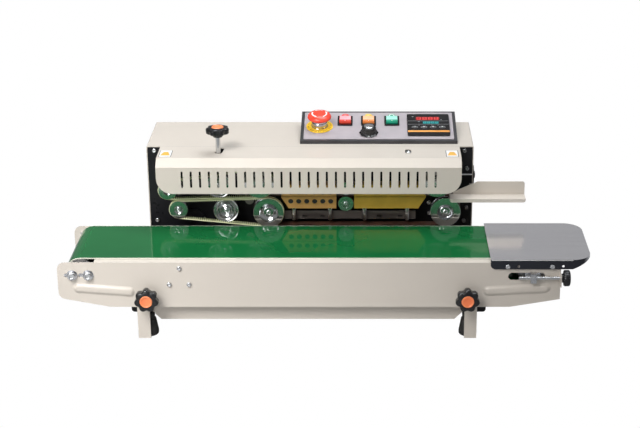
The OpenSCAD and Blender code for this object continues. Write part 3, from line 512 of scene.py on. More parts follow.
# Moulded plastics and prints: name, colour, roughness, second colour and grain depth
PLASTICS = (
    ("black_plastic", (0.011, 0.011, 0.012), 0.36, (0.018, 0.018, 0.019)),
    ("gloss_black", (0.008, 0.008, 0.009), 0.14, (0.012, 0.012, 0.013), SMOOTH),
    ("console_black", (0.028, 0.028, 0.031), 0.34, (0.044, 0.044, 0.047)),
    ("face_grey", (0.40, 0.362, 0.385), 0.42, (0.43, 0.39, 0.412), 0.00002),
    ("red_plastic", (0.93, 0.085, 0.05), 0.22, (0.86, 0.06, 0.03), SMOOTH),
    ("yellow_plastic", (0.93, 0.60, 0.016), 0.34, (0.95, 0.62, 0.03), SMOOTH),
    ("pale_red", (0.90, 0.40, 0.45), 0.2, (0.94, 0.50, 0.54), SMOOTH),
    ("pale_orange", (0.92, 0.52, 0.30), 0.2, (0.95, 0.62, 0.42), SMOOTH),
    ("pale_green", (0.36, 0.78, 0.66), 0.2, (0.48, 0.84, 0.74), SMOOTH),
    ("rocker_orange", (0.92, 0.25, 0.06), 0.2, (0.98, 0.32, 0.09), SMOOTH),
    ("green_plastic", (0.008, 0.36, 0.20), 0.2, (0.012, 0.44, 0.26), SMOOTH),
    ("button_grey", (0.10, 0.10, 0.105), 0.4, (0.13, 0.13, 0.135)),
    ("guide_rubber", (0.76, 0.79, 0.46), 0.5, (0.82, 0.84, 0.54), 0.00003),
    # painted shade for the grooves between the guide belts' teeth
    ("guide_groove_shade", (0.10, 0.11, 0.045), 0.6, (0.14, 0.15, 0.07), 0.00003),
    ("knob_black", (0.010, 0.010, 0.011), 0.24, (0.015, 0.015, 0.016), 0.00003),
    ("cap_orange", (0.95, 0.26, 0.10), 0.3, (0.98, 0.32, 0.14), SMOOTH),
    ("cap_peach", (0.93, 0.22, 0.08), 0.34, (0.97, 0.28, 0.11), SMOOTH),
    ("belt_edge", (0.66, 0.66, 0.56), 0.5, (0.72, 0.72, 0.62), 0.00002),
    ("mark_black", (0.02, 0.02, 0.02), 0.5, (0.03, 0.03, 0.03), SMOOTH),
    ("label_red", (0.70, 0.03, 0.03), 0.35, (0.76, 0.05, 0.04), SMOOTH),
    ("label_orange", (0.82, 0.52, 0.03), 0.35, (0.88, 0.60, 0.05), SMOOTH),
    ("label_green", (0.01, 0.30, 0.14), 0.35, (0.02, 0.36, 0.17), SMOOTH),
    ("label_white", (0.84, 0.84, 0.85), 0.4, (0.80, 0.80, 0.81), SMOOTH),
    ("label_orange_bar", (0.80, 0.42, 0.06), 0.4, (0.84, 0.48, 0.08), SMOOTH),
    ("digit_red", (0.80, 0.05, 0.05), 0.3, (0.86, 0.08, 0.07), SMOOTH),
    ("window_red", (0.30, 0.02, 0.02), 0.2, (0.36, 0.03, 0.03), SMOOTH),
    ("digit_teal", (0.02, 0.36, 0.36), 0.3, (0.03, 0.42, 0.42), SMOOTH),
    ("window_teal", (0.01, 0.12, 0.13), 0.2, (0.02, 0.15, 0.16), SMOOTH),
    ("line_grey", (0.30, 0.30, 0.31), 0.4, (0.36, 0.36, 0.37), SMOOTH),
    ("stripe_orange", (0.86, 0.34, 0.06), 0.35, (0.92, 0.42, 0.10), SMOOTH),
    ("white_mark", (0.85, 0.85, 0.83), 0.45, (0.80, 0.80, 0.79), SMOOTH),
)


def make_materials():
    beige = (0.655, 0.597, 0.528)
    powder_coat("beige_paint", beige, tuple(c * 0.965 for c in beige))
    black_paint()
    stainless()
    brushed("steel", (0.56, 0.56, 0.58), 0.3, (0.1, 1, 1))
    brushed("dark_steel", (0.22, 0.195, 0.18), 0.4, (0.1, 1, 1))
    brushed("cast_alloy", (0.42, 0.42, 0.43), 0.42, (1, 1, 1))
    turned_chrome()
    zinc()
    brass("brass", (0.72, 0.39, 0.12))
    brass("hot_brass", (0.70, 0.44, 0.06))
    belt_pvc()
    rubber()
    band_cloth()
    bright_steel()
    for plastic in PLASTICS:
        moulded(*plastic)
    brushed("oxide_steel", (0.25, 0.25, 0.255), 0.22, (1, 1, 1))


# Material, bevel width in mm, and the CAD nodes that have them
CAD_LOOKS = (
    ("band_cloth", None, "sealing_bands"),
    ("beige_paint", 0.3, "back_cover"),
    ("beige_paint", 0.4, "conveyor_front_panel conveyor_rear_panel"),
    ("beige_paint", 0.45, "front_cover bag_tray"),
    ("beige_paint", 0.6, "base_tray"),
    ("beige_paint", 0.8, "front_legs"),
    ("beige_paint", 1.0, "head_housing"),
    ("belt_pvc", None, "conveyor_belt"),
    ("black_paint", 0.4, "front_plate"),
    ("black_paint", 0.5, "foot_bars"),
    ("black_plastic", 0.2, "fan_rotor"),
    ("black_plastic", 0.4, "switch_housings"),
    ("black_plastic", 0.5, "power_inlet speed_knob"),
    ("black_plastic", 0.6, "tension_knob"),
    ("black_plastic", 0.8, "star_knob_left star_knob_right pressure_knob tray_knob"),
    ("brass", 0.3, "cooling_blocks"),
    ("button_grey", 0.3, "controller_button_1 controller_button_2 controller_button_3 "
        "controller_button_4"),
    ("cast_alloy", 0.3, "fan_guard"),
    ("cast_alloy", 1.0, "gear_motor"),
    ("console_black", 0.8, "control_console"),
    ("dark_steel", 0.3, "mounting_brackets"),
    ("face_grey", 0.15, "console_plate"),
    ("gloss_black", 0.5, "temperature_controller"),
    ("green_plastic", 0.5, "rocker_green"),
    ("guide_rubber", None, "guide_belts"),
    ("hot_brass", 0.3, "heating_blocks"),
    ("red_plastic", 0.3, "estop_head"),
    ("red_plastic", 0.5, "rocker_red"),
    ("rocker_orange", 0.5, "rocker_orange"),
    ("rubber", 0.5, "rubber_feet"),
    ("stainless", 0.3, "loading_plate"),
    ("steel", 0.2, "motor_pinion lower_drive_gear upper_drive_gear"),
    ("turned_chrome", 0.3, "estop_stem"),
    ("turned_chrome", 0.4, "lower_guide_wheel upper_guide_wheel lower_emboss_wheel "
        "upper_emboss_wheel lower_press_wheel upper_press_wheel"),
    ("turned_chrome", 0.5, "lower_drive_wheel upper_drive_wheel lower_idler_wheel "
        "upper_idler_wheel"),
    ("zinc", 0.3, "conveyor_bolts head_screws"),
    ("zinc", 0.4, "belt_bed"),
    ("zinc", 0.5, "drive_roller tail_roller tension_yokes"),
)


def dress_cad():
    for material, width, names in CAD_LOOKS:
        for name in names.split():
            obj = NODES[name]
            obj.data.materials.clear()
            obj.data.materials.append(MATERIALS[material])
            if width:
                bevel(obj, width * MM)


# ------------------------ places in millimetres

# Top of the head's cover, front of the conveyor's panel, and the console's lower edge
HEAD_TOP = 250.0
PANEL_FRONT = -162.0
CONSOLE_Y, CONSOLE_Z = 70.5, 255.2
CONSOLE_TILT = math.atan2(19.8, 102.0)
BACK = Vector((0, 1, 0))
RIGHT = Vector((1, 0, 0))


def at_mm(x, y, z, axis=FRONT, up=UP):
    """Matrix for shapes drawn in millimetres: origin at a point, local +Z along axis."""
    return basis(Vector((x, y, z)) * MM, axis, up) @ Matrix.Scale(MM, 4)


def span(node):
    """Low and high corner of a CAD node's box, in millimetres."""
    low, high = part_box(node)
    return low / MM, high / MM


def centre(low, high):
    return [(a + b) / 2 for a, b in zip(low, high)]


def on_console(x, v, w=0.0):
    """Matrix on the console's slope: X along, Y up the slope, Z out of the panel."""
    c, s = math.cos(CONSOLE_TILT), math.sin(CONSOLE_TILT)
    at = Vector((x, CONSOLE_Y + v * c - w * s, CONSOLE_Z + v * s + w * c)) * MM
    turn = Matrix.Rotation(CONSOLE_TILT, 4, "X")
    return Matrix.Translation(at) @ turn @ Matrix.Scale(MM, 4)


# ------------------------ star knobs

# A star knob's height, radius at the lobes and depth of the cuts between them
STAR_BODY = (
    (-16.5, 15.0, 1.5), (-15.8, 17.6, 3.0), (-14.2, 19.0, 4.2), (-6.0, 19.4, 4.4),
    (-3.8, 18.8, 4.0), (-2.4, 17.2, 3.0), (-1.7, 14.6, 1.2), (-1.5, 12.4, 0.0),
    (-1.2, 11.2, 0.0), (-1.3, 10.4, 0.0), (-2.6, 10.2, 0.0)
)
STAR_DEPTH = 16.5
STAR_FLOOR = -2.6
STAR_LOBES = 7
STAR_CAP_RING = ((0, -2.8), (9.7, -2.8), (9.9, -1.2), (9.2, -0.2), (8.3, 0.0), (7.4, -0.5),
                 (7.0, -0.9))
STAR_CAP_DISC = ((7.05, -1.2), (7.0, -0.85), (5.4, -1.15), (0, -1.3))


def star_knob(node, origin, axis, up, depth, stud_to):
    """Seven-lobed knob with a dished orange cap, on a polished stud."""
    place = at_mm(*origin, axis, up)
    squeeze = depth / STAR_DEPTH
    cut_at = {}
    levels = []
    for h, tip, cut in STAR_BODY:
        h = h * squeeze if h < STAR_FLOOR else h
        cut_at[round(h, 3)] = cut
        levels.append((tip, h))

    def lobes(a, r, h):
        groove = wave(STAR_LOBES, a - math.pi / 2) ** 1.4
        return r - cut_at.get(round(h, 3), 0.0) * 0.75 * groove

    back = levels[0][1]
    bm = lathe(bmesh.new(), [(0, back)] + levels + [(0, STAR_FLOOR)], place, 140, lobes)
    lathe(bm, [(0, back - 5.6), (7.2, back - 5.6), (8, back - 5), (8.4, back + 0.5),
               (0, back + 0.5)], place, 40)
    piece(node + "_grip", bm, "knob_black", node, replaces=(node,), angle=40)
    turned(node + "_cap_ring", STAR_CAP_RING, place, 56, "cap_orange", node)
    turned(node + "_cap_disc", STAR_CAP_DISC, place, 56, "cap_peach", node)
    stud = [(0, back - 5.5), (4, back - 5.5), (4, stud_to + 0.5), (3.4, stud_to), (0, stud_to)]
    turned(node + "_stud", stud, place, 40, "turned_chrome", node)


def star_knobs():
    for side in ("left", "right"):
        low, high = span("star_knob_" + side)
        middle = (low + high) / 2
        star_knob("star_knob_" + side, (middle.x, low.y, middle.z), FRONT, UP, STAR_DEPTH,
                  low.y - high.y)
    low, high = span("pressure_knob")
    middle = (low + high) / 2
    star_knob("pressure_knob", (middle.x, middle.y, high.z), UP, BACK, 12.6, low.z - high.z)


# ------------------------ wheels, profiles as (r, y)

DRIVE = (
    (0, 14.6), (7.1, 14.6), (7.5, 15.0), (7.5, 18.2), (8.6, 18.6), (9.6, 18.2), (12.6, 16.4),
    (15.4, 14.2), (16.0, 13.2), (16.2, 12.4), (24.8, 12.4),
    (25.2, 12.8), (25.2, 13.7), (22.95, 13.7), (22.95, 22.5), (25.15, 22.5), (25.15, 24.3),
    (25.45, 24.3), (25.45, 40.6), (25.0, 41), (6, 41), (6, 92), (0, 92)
)
IDLER = (
    (0, 18.2), (7.1, 18.2), (7.5, 18.6), (7.5, 21.8), (8.6, 22.2), (9.6, 21.8), (11.6, 20.4),
    (13.2, 18.2), (13.6, 17.0), (13.8, 16.0), (24.7, 16),
    (25.15, 16.4), (25.15, 24.3), (25.45, 24.3), (25.45, 40.6), (25.0, 41), (6, 41), (6, 75),
    (0, 75)
)
GUIDE = (
    (0, 13.2), (4.2, 13.2), (4.6, 13.5), (4.6, 14.8), (5.6, 14.6), (7.2, 13.4), (7.5, 12.4),
    (14.9, 12.4), (15.2, 12.7), (15.2, 13.7), (12.95, 13.7), (12.95, 22.5), (15.2, 22.5),
    (15.2, 25), (4, 25), (4, 70), (0, 70)
)
EMBOSS = (
    (0, 16.2), (4.4, 16.2), (6.2, 17.4), (7.4, 16.6), (8.3, 14.9), (9.4, 14.2), (10.5, 14.9),
    (11.2, 16.6), (12.0, 17.6), (12.8, 16.6), (13.6, 14.8), (15.0, 14.0), (16.2, 14.8),
    (16.6, 16.8), (17.4, 17.6), (18.4, 17.0), (20.0, 16.6), (21.0, 17.2), (21.5, 18.6),
    (21.5, 40.6), (21.1, 41), (6, 41), (6, 75), (0, 75)
)
LOWER_PRESS = (
    (0, 21.6), (4.6, 21.6), (5.2, 20.8), (7.4, 20.8), (7.8, 20.2), (12.7, 20.0), (13.2, 20.5),
    (13.2, 24.3), (11.4, 24.3), (11.4, 41), (4, 41), (4, 70), (0, 70)
)
UPPER_PRESS = (
    (0, 26.2), (4.6, 26.2), (5.2, 25.2), (7.4, 25.2), (7.8, 24.8), (11.0, 24.6), (11.4, 25.0),
    (11.4, 41), (4, 41), (4, 70), (0, 70)
)


def socket_head(bm, place, r, rise, socket, floor=0.4):
    """Domed screw head with a hexagon socket, standing on the place's plane."""

    def hexagon(a, q, h):
        if q > socket + 0.05:
            return q
        turn = (a % (math.pi / 3)) - math.pi / 6
        return q * 0.93 / math.cos(turn)

    lathe(bm, [(0, floor), (socket, floor), (socket, rise - 0.25), (socket + 0.3, rise),
               (r * 0.7, rise * 0.96), (r * 0.93, rise * 0.68), (r, rise * 0.3), (r, -0.4)],
          place, 48, hexagon)
    return bm


def wheel_at(node):
    """A wheel's middle in X and Z."""
    x, _, z = centre(*span(node))
    return x, z


def hub_bolt(node, body, y, r, rise):
    x, z = wheel_at(node)
    piece(node + "_bolt", socket_head(bmesh.new(), at_mm(x, y, z), r, rise, r * 0.5),
          "bright_steel", body)


def knurled(a, r, h):
    """The fine ridges on a press wheel's rim."""
    return r * (1 - 0.02 * (0.5 + 0.5 * math.cos(36 * a))) if r > 11.3 else r


def turned_wheel(node, body, profile, steps=112, ripple=None):
    x, z = wheel_at(node)
    turned(node + "_turned", [(r, -y) for r, y in profile], at_mm(x, 0, z), steps,
           "turned_chrome", body, ripple, replaces=(node,), angle=28)


# Wheels in pairs: kind, profile, and its hub bolt's y, radius and rise
WHEELS = (
    ("drive", DRIVE, 14.6, 4.4, 2.0), ("idler", IDLER, 18.2, 4.4, 2.0),
    ("guide", GUIDE, 13.2, 3.2, 1.2), ("emboss", EMBOSS, 16.2, 3.6, 1.8)
)


def wheels():
    for side in ("lower", "upper"):
        for kind, profile, y, r, rise in WHEELS:
            node = f"{side}_{kind}_wheel"
            body = side + "_drive" if kind == "drive" else node
            turned_wheel(node, body, profile)
            hub_bolt(node, body, y, r, rise)
    turned_wheel("lower_press_wheel", "lower_press_wheel", LOWER_PRESS, 216, knurled)
    hub_bolt("lower_press_wheel", "lower_press_wheel", 21.6, 3.4, 1.4)
    turned_wheel("upper_press_wheel", "upper_press_wheel", UPPER_PRESS, 216, knurled)


# ------------------------ belts

# The toothed belts' depth, the radii they run on and the pitch of their teeth
GUIDE_BELT_Y = (14, 22)
GUIDE_BELT_R = (13, 23)
TOOTH_PITCH = 3.5
# Where along its pitch a tooth's corners are, and how far out from the wheels
TOOTH = ((0.12, 1.5), (0.24, 0.0), (0.46, 0.0), (0.58, 1.5))
# The conveyor belt's thickness, and the width of its pale edges
CONVEYOR_BELT = 1.5
CONVEYOR_EDGE = 1.1


def loop_path(a, ra, b, rb, length_step):
    """A function for points and outward normals round two wheels, the length, and the steps."""
    a, b = Vector(a), Vector(b)
    gap = (b - a).length
    toward = math.atan2((b - a).y, (b - a).x)
    side = math.acos((ra - rb) / gap)
    run = math.sqrt(gap * gap - (ra - rb) ** 2)
    parts = [("arc", b, rb, toward - side, toward + side, rb * 2 * side),
             ("line", toward + side, b, rb, a, ra, run),
             ("arc", a, ra, toward + side, toward + 2 * math.pi - side,
              ra * (2 * math.pi - 2 * side)),
             ("line", toward - side, a, ra, b, rb, run)]
    total = sum(p[-1] for p in parts)
    count = max(3, round(total / length_step))

    def sample(s):
        for p in parts:
            if s <= p[-1] or p is parts[-1]:
                f = s / p[-1]
                if p[0] == "arc":
                    angle = p[3] + (p[4] - p[3]) * f
                    n = Vector((math.cos(angle), math.sin(angle)))
                    return p[1] + n * p[2], n
                n = Vector((math.cos(p[1]), math.sin(p[1])))
                start, end = p[2] + n * p[3], p[4] + n * p[5]
                return start.lerp(end, f), n
            s -= p[-1]

    return sample, total, count


def loop_strip(bm, points, y0, y1):
    """Closed band through (inner, outer) points in X and Z, between two depths."""
    rings = []
    for inner, outer in points:
        rings.append([bm.verts.new(Vector((p.x, y, p.y)) * MM)
                      for p, y in ((inner, y0), (outer, y0), (outer, y1), (inner, y1))])
    for i, ring in enumerate(rings):
        skirt(bm, ring, rings[(i + 1) % len(rings)])
    return bm


def toothed_belt(web, groove_shade, teeth, side):
    """Belt with teeth on its inside: a web, a dark sheet of painted shade on its inner face
    between the teeth, and the teeth.
    """
    y0, y1 = GUIDE_BELT_Y
    sample, total, count = loop_path(wheel_at(side + "_guide_wheel"), GUIDE_BELT_R[0],
                                     wheel_at(side + "_drive_wheel"), GUIDE_BELT_R[1],
                                     TOOTH_PITCH)
    pitch = total / count
    outside, inside = [], []
    for i in range(count):
        for f in (0.0, 0.5):
            p, n = sample((i + f) * pitch)
            outside.append((p + n * 1.4, p + n * 3.0))
            inside.append((p + n * 1.25, p + n * 1.45))
        corners = []
        for f, rise in TOOTH:
            p, n = sample((i + f) * pitch)
            corners.append(p + n * rise)
        rows = [[teeth.verts.new(Vector((c.x, y, c.y)) * MM) for c in corners] for y in (y0, y1)]
        teeth.faces.new(rows[0])
        teeth.faces.new(list(reversed(rows[1])))
        skirt(teeth, *rows)
    loop_strip(web, outside, y0, y1)
    # Painted shade: a thin dark sheet just inside the web, seen in the grooves between the teeth
    loop_strip(groove_shade, inside, y0 + 0.2, y1 - 0.2)


def belts():
    web, groove_shade, teeth = bmesh.new(), bmesh.new(), bmesh.new()
    for side in ("lower", "upper"):
        toothed_belt(web, groove_shade, teeth, side)
    piece("guide_belt_web", web, "guide_rubber", ROOT, replaces=("guide_belts",), angle=25)
    piece("guide_belt_groove_shade", groove_shade, "guide_groove_shade", ROOT)
    piece("guide_belt_teeth", teeth, "guide_rubber", ROOT, angle=25)

    low, high = span("conveyor_belt")
    r = (high.z - low.z) / 2 - CONVEYOR_BELT
    z = (high.z + low.z) / 2
    sample, total, count = loop_path((low.x + CONVEYOR_BELT + r, z), r,
                                     (high.x - CONVEYOR_BELT - r, z), r, 2.0)
    points = []
    for i in range(count):
        p, n = sample(i * total / count)
        points.append((p, p + n * CONVEYOR_BELT))
    body = loop_strip(bmesh.new(), points, low.y + CONVEYOR_EDGE, high.y - CONVEYOR_EDGE)
    piece("conveyor_belt_web", body, "belt_pvc", "conveyor", replaces=("conveyor_belt",))
    bm = loop_strip(bmesh.new(), points, low.y, low.y + CONVEYOR_EDGE)
    loop_strip(bm, points, high.y - CONVEYOR_EDGE, high.y)
    piece("conveyor_belt_edges", bm, "belt_edge", "conveyor")


# ------------------------ console

# Places on the console's slope, as x and distance up the slope
ESTOP = (-13.4, 48.5)
SPEED = (70.5, 25)
ROCKERS = (("red", 30), ("orange", 70), ("green", 110))
ROCKER_V = 67.7
ROCKER_TILT = math.radians(-7)
ROCKER_SLOPE = math.atan2(1.7, 12.4)
# The controller's face: left, bottom, side and height; and its buttons' row
FACE_X, FACE_V, FACE_SIDE, FACE_W = 136.0, 15.0, 72.0, 4.2
BUTTON_V = 25.5
# Foot and top of a thin print, from the surface it lies on
INK = (-0.1, 0.12)

ESTOP_DISC = ((0, 0.8), (22.7, 0.8), (22.7, 1.9), (22.2, 2.3), (0, 2.3))
ESTOP_COLLAR = ((8.3, 2.2), (14.2, 2.2), (14.2, 3.4), (13.9, 3.8), (13.4, 4.0), (13.4, 6.6),
                (13.1, 6.8), (13.1, 7.4), (13.4, 7.6), (13.4, 11.0), (13.1, 11.4),
                (12.7, 11.4), (12.7, 2.4), (8.3, 2.4), (8.3, 2.2))
ESTOP_BARREL = ((0, -28), (11, -28), (11, 0.8), (8.2, 0.8), (8.2, -24), (0, -24))
ESTOP_SLEEVE = ((8.0, 7.6), (12.5, 7.6), (12.5, 17.2), (8.0, 17.2), (8.0, 7.6))
ESTOP_DOME = ((0, 27), (9, 26.6), (13.5, 25.9), (16.4, 24.9), (18.6, 23.2), (20.0, 21.2),
              (20.3, 19.8), (19.6, 18.2), (18.0, 17.0), (16.6, 16.6), (13.8, 16.6),
              (13.5, 17.2), (13.5, 21.5), (5.2, 21.5), (0, 21.5))
# Where each arrow on the dome starts and ends, in degrees
ESTOP_ARROWS = ((64, 116), (158, 238), (302, 382))


def on_dome(place, r, a, lift):
    """Point at a small height over the stop button's dome."""
    for (r0, h0), (r1, h1) in zip(ESTOP_DOME, ESTOP_DOME[1:]):
        if r0 <= r <= r1:
            return place @ polar(r, a, h0 + (h1 - h0) * (r - r0) / (r1 - r0) + lift)


def estop_arrows(place):
    bm = bmesh.new()
    steps = 14
    for a0, a1 in ESTOP_ARROWS:
        rows = []
        for i in range(steps + 1):
            a = math.radians(a0 + (a1 - a0) * i / steps)
            rows.append([bm.verts.new(on_dome(place, r, a, lift))
                         for r, lift in ((11.2, 0.02), (11.2, 0.16), (13.3, 0.16), (13.3, 0.02))])
        for p, q in zip(rows, rows[1:]):
            skirt(bm, p, q)
        bm.faces.new(rows[0])
        bm.faces.new(list(reversed(rows[-1])))
        points = ((10.6, math.radians(a1)), (14.3, math.radians(a1)),
                  (12.3, math.radians(a1 + 13)))
        top = [bm.verts.new(on_dome(place, r, a, 0.17)) for r, a in points]
        foot = [bm.verts.new(on_dome(place, r, a, -0.1)) for r, a in points]
        bm.faces.new(top)
        skirt(bm, top, foot)
    piece("estop_arrows", bm, "white_mark", "estop_head")


def emergency_stop():
    place = on_console(*ESTOP)
    turned("estop_disc", ESTOP_DISC, place, 72, "yellow_plastic", ROOT,
           replaces=("switch_housings",))
    bm = bmesh.new()
    for i in range(40):
        if i % 4 < 3:
            a = math.radians(9 * i + 4)
            c, s = math.cos(a), math.sin(a)
            mark = [(p * c - q * s, p * s + q * c) for p, q in rectangle(18.2, -0.35, 20.6, 0.35)]
            prism(bm, mark, place, 2.2, 2.38)
    piece("estop_disc_marks", bm, "mark_black", ROOT)
    turned("estop_collar", ESTOP_COLLAR, place, 72, "turned_chrome", ROOT)
    turned("estop_barrel", ESTOP_BARREL, place, 40, "black_plastic", ROOT)
    turned("estop_sleeve", ESTOP_SLEEVE, place, 72, "turned_chrome", "estop_head")
    turned("estop_mushroom", ESTOP_DOME, place, 96, "red_plastic", "estop_head",
           replaces=("estop_head",), angle=40)
    estop_arrows(place)


def rocker_marks(color, x):
    """The marks on one rocker, a paler sheet on its upper half and the round label above it."""
    tilt = on_console(x, ROCKER_V, -2.0) @ Matrix.Rotation(ROCKER_TILT, 4, "X")
    rise = Matrix.Rotation(ROCKER_SLOPE, 4, "X")
    far = tilt @ Matrix.Translation((0, 7.0, 6.76)) @ rise
    near = tilt @ Matrix.Translation((0, -7.0, 6.76)) @ Matrix.Rotation(-ROCKER_SLOPE, 4, "X")
    bm = ring_prism(bmesh.new(), arc_points(2.3, 0, 337.5, 15), arc_points(1.6, 0, 337.5, 15),
                    far, -0.1, 0.1)
    prism(bm, rectangle(-0.4, -2, 0.4, 2), near, -0.1, 0.1)
    piece("rocker_marks_" + color, bm, "white_mark", "rocker_" + color)
    sheet = tilt @ Matrix.Translation((0, 5.6, 6.62)) @ rise
    bm = prism(bmesh.new(), rectangle(-9.5, -6.0, 9.5, 6.6), sheet, -0.1, 0.05)
    piece("rocker_upper_" + color, bm, "pale_" + color, "rocker_" + color)
    base = on_console(x, ROCKER_V + 19.6)
    bm = prism(bmesh.new(), arc_points(6.2, 0, 351, 39), base, 0.78, 0.98)
    piece("rocker_label_" + color, bm, "label_" + color, ROOT)
    bm = bmesh.new()
    if color == "green":
        ring_prism(bm, arc_points(4.9, 0, 350, 35), arc_points(3.2, 0, 350, 35), base, 0.9, 1.04)
    else:
        prism(bm, rectangle(-2.2, 1.6, 2.2, 2.6), base, 0.9, 1.04)
    piece("rocker_label_mark_" + color, bm, "white_mark", ROOT)


def rockers():
    bm = bmesh.new()
    inner = rounded_rect(20, 27.2, 0.6, 3)
    for _, x in ROCKERS:
        place = on_console(x, ROCKER_V)
        ring_prism(bm, rounded_rect(25.6, 32.6, 1.2, 3, (0, -0.8)), inner, place, 0.8, 2.9)
        ring_prism(bm, rounded_rect(23, 29, 0.8, 3), inner, place, -14, 0.9)
    piece("rocker_frames", bm, "gloss_black", ROOT, edge=0.35 * MM)
    for color, x in ROCKERS:
        rocker_marks(color, x)


SPEED_GRIP = ((0, 1.1), (15.3, 1.1), (16.2, 1.6), (16.2, 2.6), (15.1, 3.1), (13.6, 3.6),
              (12.9, 4.6), (12.5, 8.0), (11.9, 12.6), (11.0, 14.1), (9.4, 14.8), (0, 14.8))
SPEED_CAP = ((8.1, 14.6), (8.0, 15.2), (7.4, 15.5), (3.2, 15.3), (0, 15.2))


def speed_knob():
    place = on_console(*SPEED)

    def scallop(a, r, h):
        if r > 15:
            return r - 1.1 * wave(10, a)
        if 11 < r < 13.2 and h > 3:
            return r - 0.45 * wave(30, a)
        return r

    turned("speed_knob_grip", SPEED_GRIP, place, 240, "knob_black", "speed_knob", scallop,
           replaces=("speed_knob",), angle=38)
    turned("speed_knob_cap", SPEED_CAP, place, 64, "bright_steel", "speed_knob")
    turn = place @ Matrix.Rotation(math.radians(-90), 4, "Z")
    bm = prism(bmesh.new(), [(13.2, -0.9), (15.6, -1.6), (15.6, 1.6), (13.2, 0.9)], turn,
               2.9, 3.35)
    prism(bm, rectangle(2.0, -0.45, 7.0, 0.45), turn, 15.2, 15.6)
    piece("speed_knob_pointer", bm, "white_mark", "speed_knob")


# The seven bars of a digit, as corners in its cell
SEGMENTS = ((0.15, 0.88, 0.85, 1.0), (0.15, 0.44, 0.85, 0.56), (0.15, 0.0, 0.85, 0.12),
            (0.0, 0.54, 0.2, 0.96), (0.8, 0.54, 1.0, 0.96), (0.0, 0.04, 0.2, 0.46),
            (0.8, 0.04, 1.0, 0.46))
# Short dashes on the face: middle, from 0 to 1, and width in mm
FACE_DASHES = ((0.135, 0.865, 3.0), (0.81, 0.72, 2.4), (0.28, 0.625, 3.2), (0.28, 0.455, 1.6),
               (0.58, 0.455, 1.6), (0.73, 0.455, 1.6))
# Marks on the four buttons, round each button's middle
BUTTON_MARKS = (rectangle(-2, -0.4, 2, 0.4), [(-1.8, -0.9), (1.8, -0.9), (0, 1.3)],
                [(-1.8, 1.1), (0, -1.1), (1.8, 1.1)], rectangle(-1, -1, 1, 1))


def digit_row(name, u0, u1, t0, t1, color):
    """A dark window with four digits; its corners run from 0 to 1 on the face."""
    place = on_console(FACE_X, FACE_V, FACE_W)
    x0, x1, y0, y1 = (k * FACE_SIDE for k in (u0, u1, t0, t1))
    bm = prism(bmesh.new(), rectangle(x0, y0, x1, y1), place, -0.1, 0.14)
    piece(name + "_window", bm, "window_" + color, ROOT)
    bm = bmesh.new()
    cell = (x1 - x0) / 4
    wide, tall = cell * 0.72, (y1 - y0) * 0.8
    for i in range(4):
        ox, oy = x0 + (i + 0.14) * cell, y0 + (y1 - y0) * 0.1
        for a, b, c, d in SEGMENTS:
            prism(bm, rectangle(ox + a * wide, oy + b * tall, ox + c * wide, oy + d * tall),
                  place, 0.1, 0.3)
    piece(name + "_digits", bm, "digit_" + color, ROOT)


def controller():
    digit_row("upper_display", 0.21, 0.765, 0.70, 0.85, "red")
    digit_row("lower_display", 0.37, 0.75, 0.515, 0.63, "teal")
    place = on_console(FACE_X, FACE_V, FACE_W)
    side = FACE_SIDE
    bm = bmesh.new()
    for t in (0.49, 0.655):
        prism(bm, rectangle(0.02 * side, t * side, 0.98 * side, t * side + 0.5), place, *INK)
    piece("controller_lines", bm, "line_grey", ROOT)
    bm = prism(bmesh.new(), rectangle(0.01 * side, 0.12 * side, 0.99 * side, 0.195 * side),
               place, -0.1, 0.14)
    piece("controller_stripe", bm, "stripe_orange", ROOT)
    bm = bmesh.new()
    for u, t, w in FACE_DASHES:
        prism(bm, rectangle(u * side - w / 2, t * side - 0.6, u * side + w / 2, t * side + 0.6),
              place, *INK)
    buttons = [f"controller_button_{i}" for i in range(1, 5)]
    across = [centre(*span(button))[0] - FACE_X for button in buttons]
    for x in across:
        ring_prism(bm, rounded_rect(10.4, 6.9, 3.4, 6, (x, BUTTON_V)),
                   rounded_rect(9.2, 6.3, 3.1, 6, (x, BUTTON_V)), place, *INK)
    piece("controller_marks", bm, "line_grey", ROOT)
    for button, x, mark in zip(buttons, across, BUTTON_MARKS):
        outline = [(x + u, BUTTON_V + v) for u, v in mark]
        piece(button + "_mark", prism(bmesh.new(), outline, place, 0.9, 1.08), "white_mark",
              button)


# ------------------------ screws and small metal


# Screws behind HEAD_BACK are on the head's back; front ones right of DARK_FROM are dark
HEAD_BACK = 185
DARK_FROM = 225


def solids(node):
    """Boxes of a CAD node's separate solids in millimetres: low, high and middle."""
    for low, high in islands(node):
        low, high = low / MM, high / MM
        yield low, high, centre(low, high)


def screw_caps():
    """Domed fronts with sockets on the CAD screws' heads; those at the right edge are dark."""
    bright, dark = bmesh.new(), bmesh.new()
    for low, high, (x, y, z) in solids("head_screws"):
        bm = bright
        if high.y > HEAD_BACK:
            place, rise = at_mm(x, high.y - 0.9, z, BACK), 0.85
        elif high.z > HEAD_TOP + 0.5:
            place, rise = at_mm(x, y, high.z - 0.3, UP, BACK), 1.4
        else:
            place, rise = at_mm(x, low.y, z), 0.9
            bm = dark if x > DARK_FROM else bright
        r = (high.x - low.x) / 2 + 0.1
        socket_head(bm, place, r, rise, r * 0.42, 0.05)
    piece("head_screw_caps_dark", dark, "oxide_steel", ROOT, angle=40)
    piece("head_screw_caps", bright, "bright_steel", ROOT, angle=40)
    bm = bmesh.new()
    for low, high, (x, _, z) in solids("conveyor_bolts"):
        if low.y > PANEL_FRONT + 2 or high.y - low.y < 1.5:
            continue
        wide = high.x - low.x
        r, rise = (6.8, 1.6) if wide > 12 else (wide / 2 + 0.1, 0.9)
        socket_head(bm, at_mm(x, low.y, z), r, rise, r * 0.45, 0.05)
    piece("conveyor_screw_caps", bm, "bright_steel", "conveyor", angle=40)


POST = ((0, 129.9), (2.6, 130.5), (3.9, 132.2), (4.15, 134), (4.15, 153.4), (0, 153.4))
POST_X = (-55, 5.4, 63, 134.5)
POST_Y = 25.5
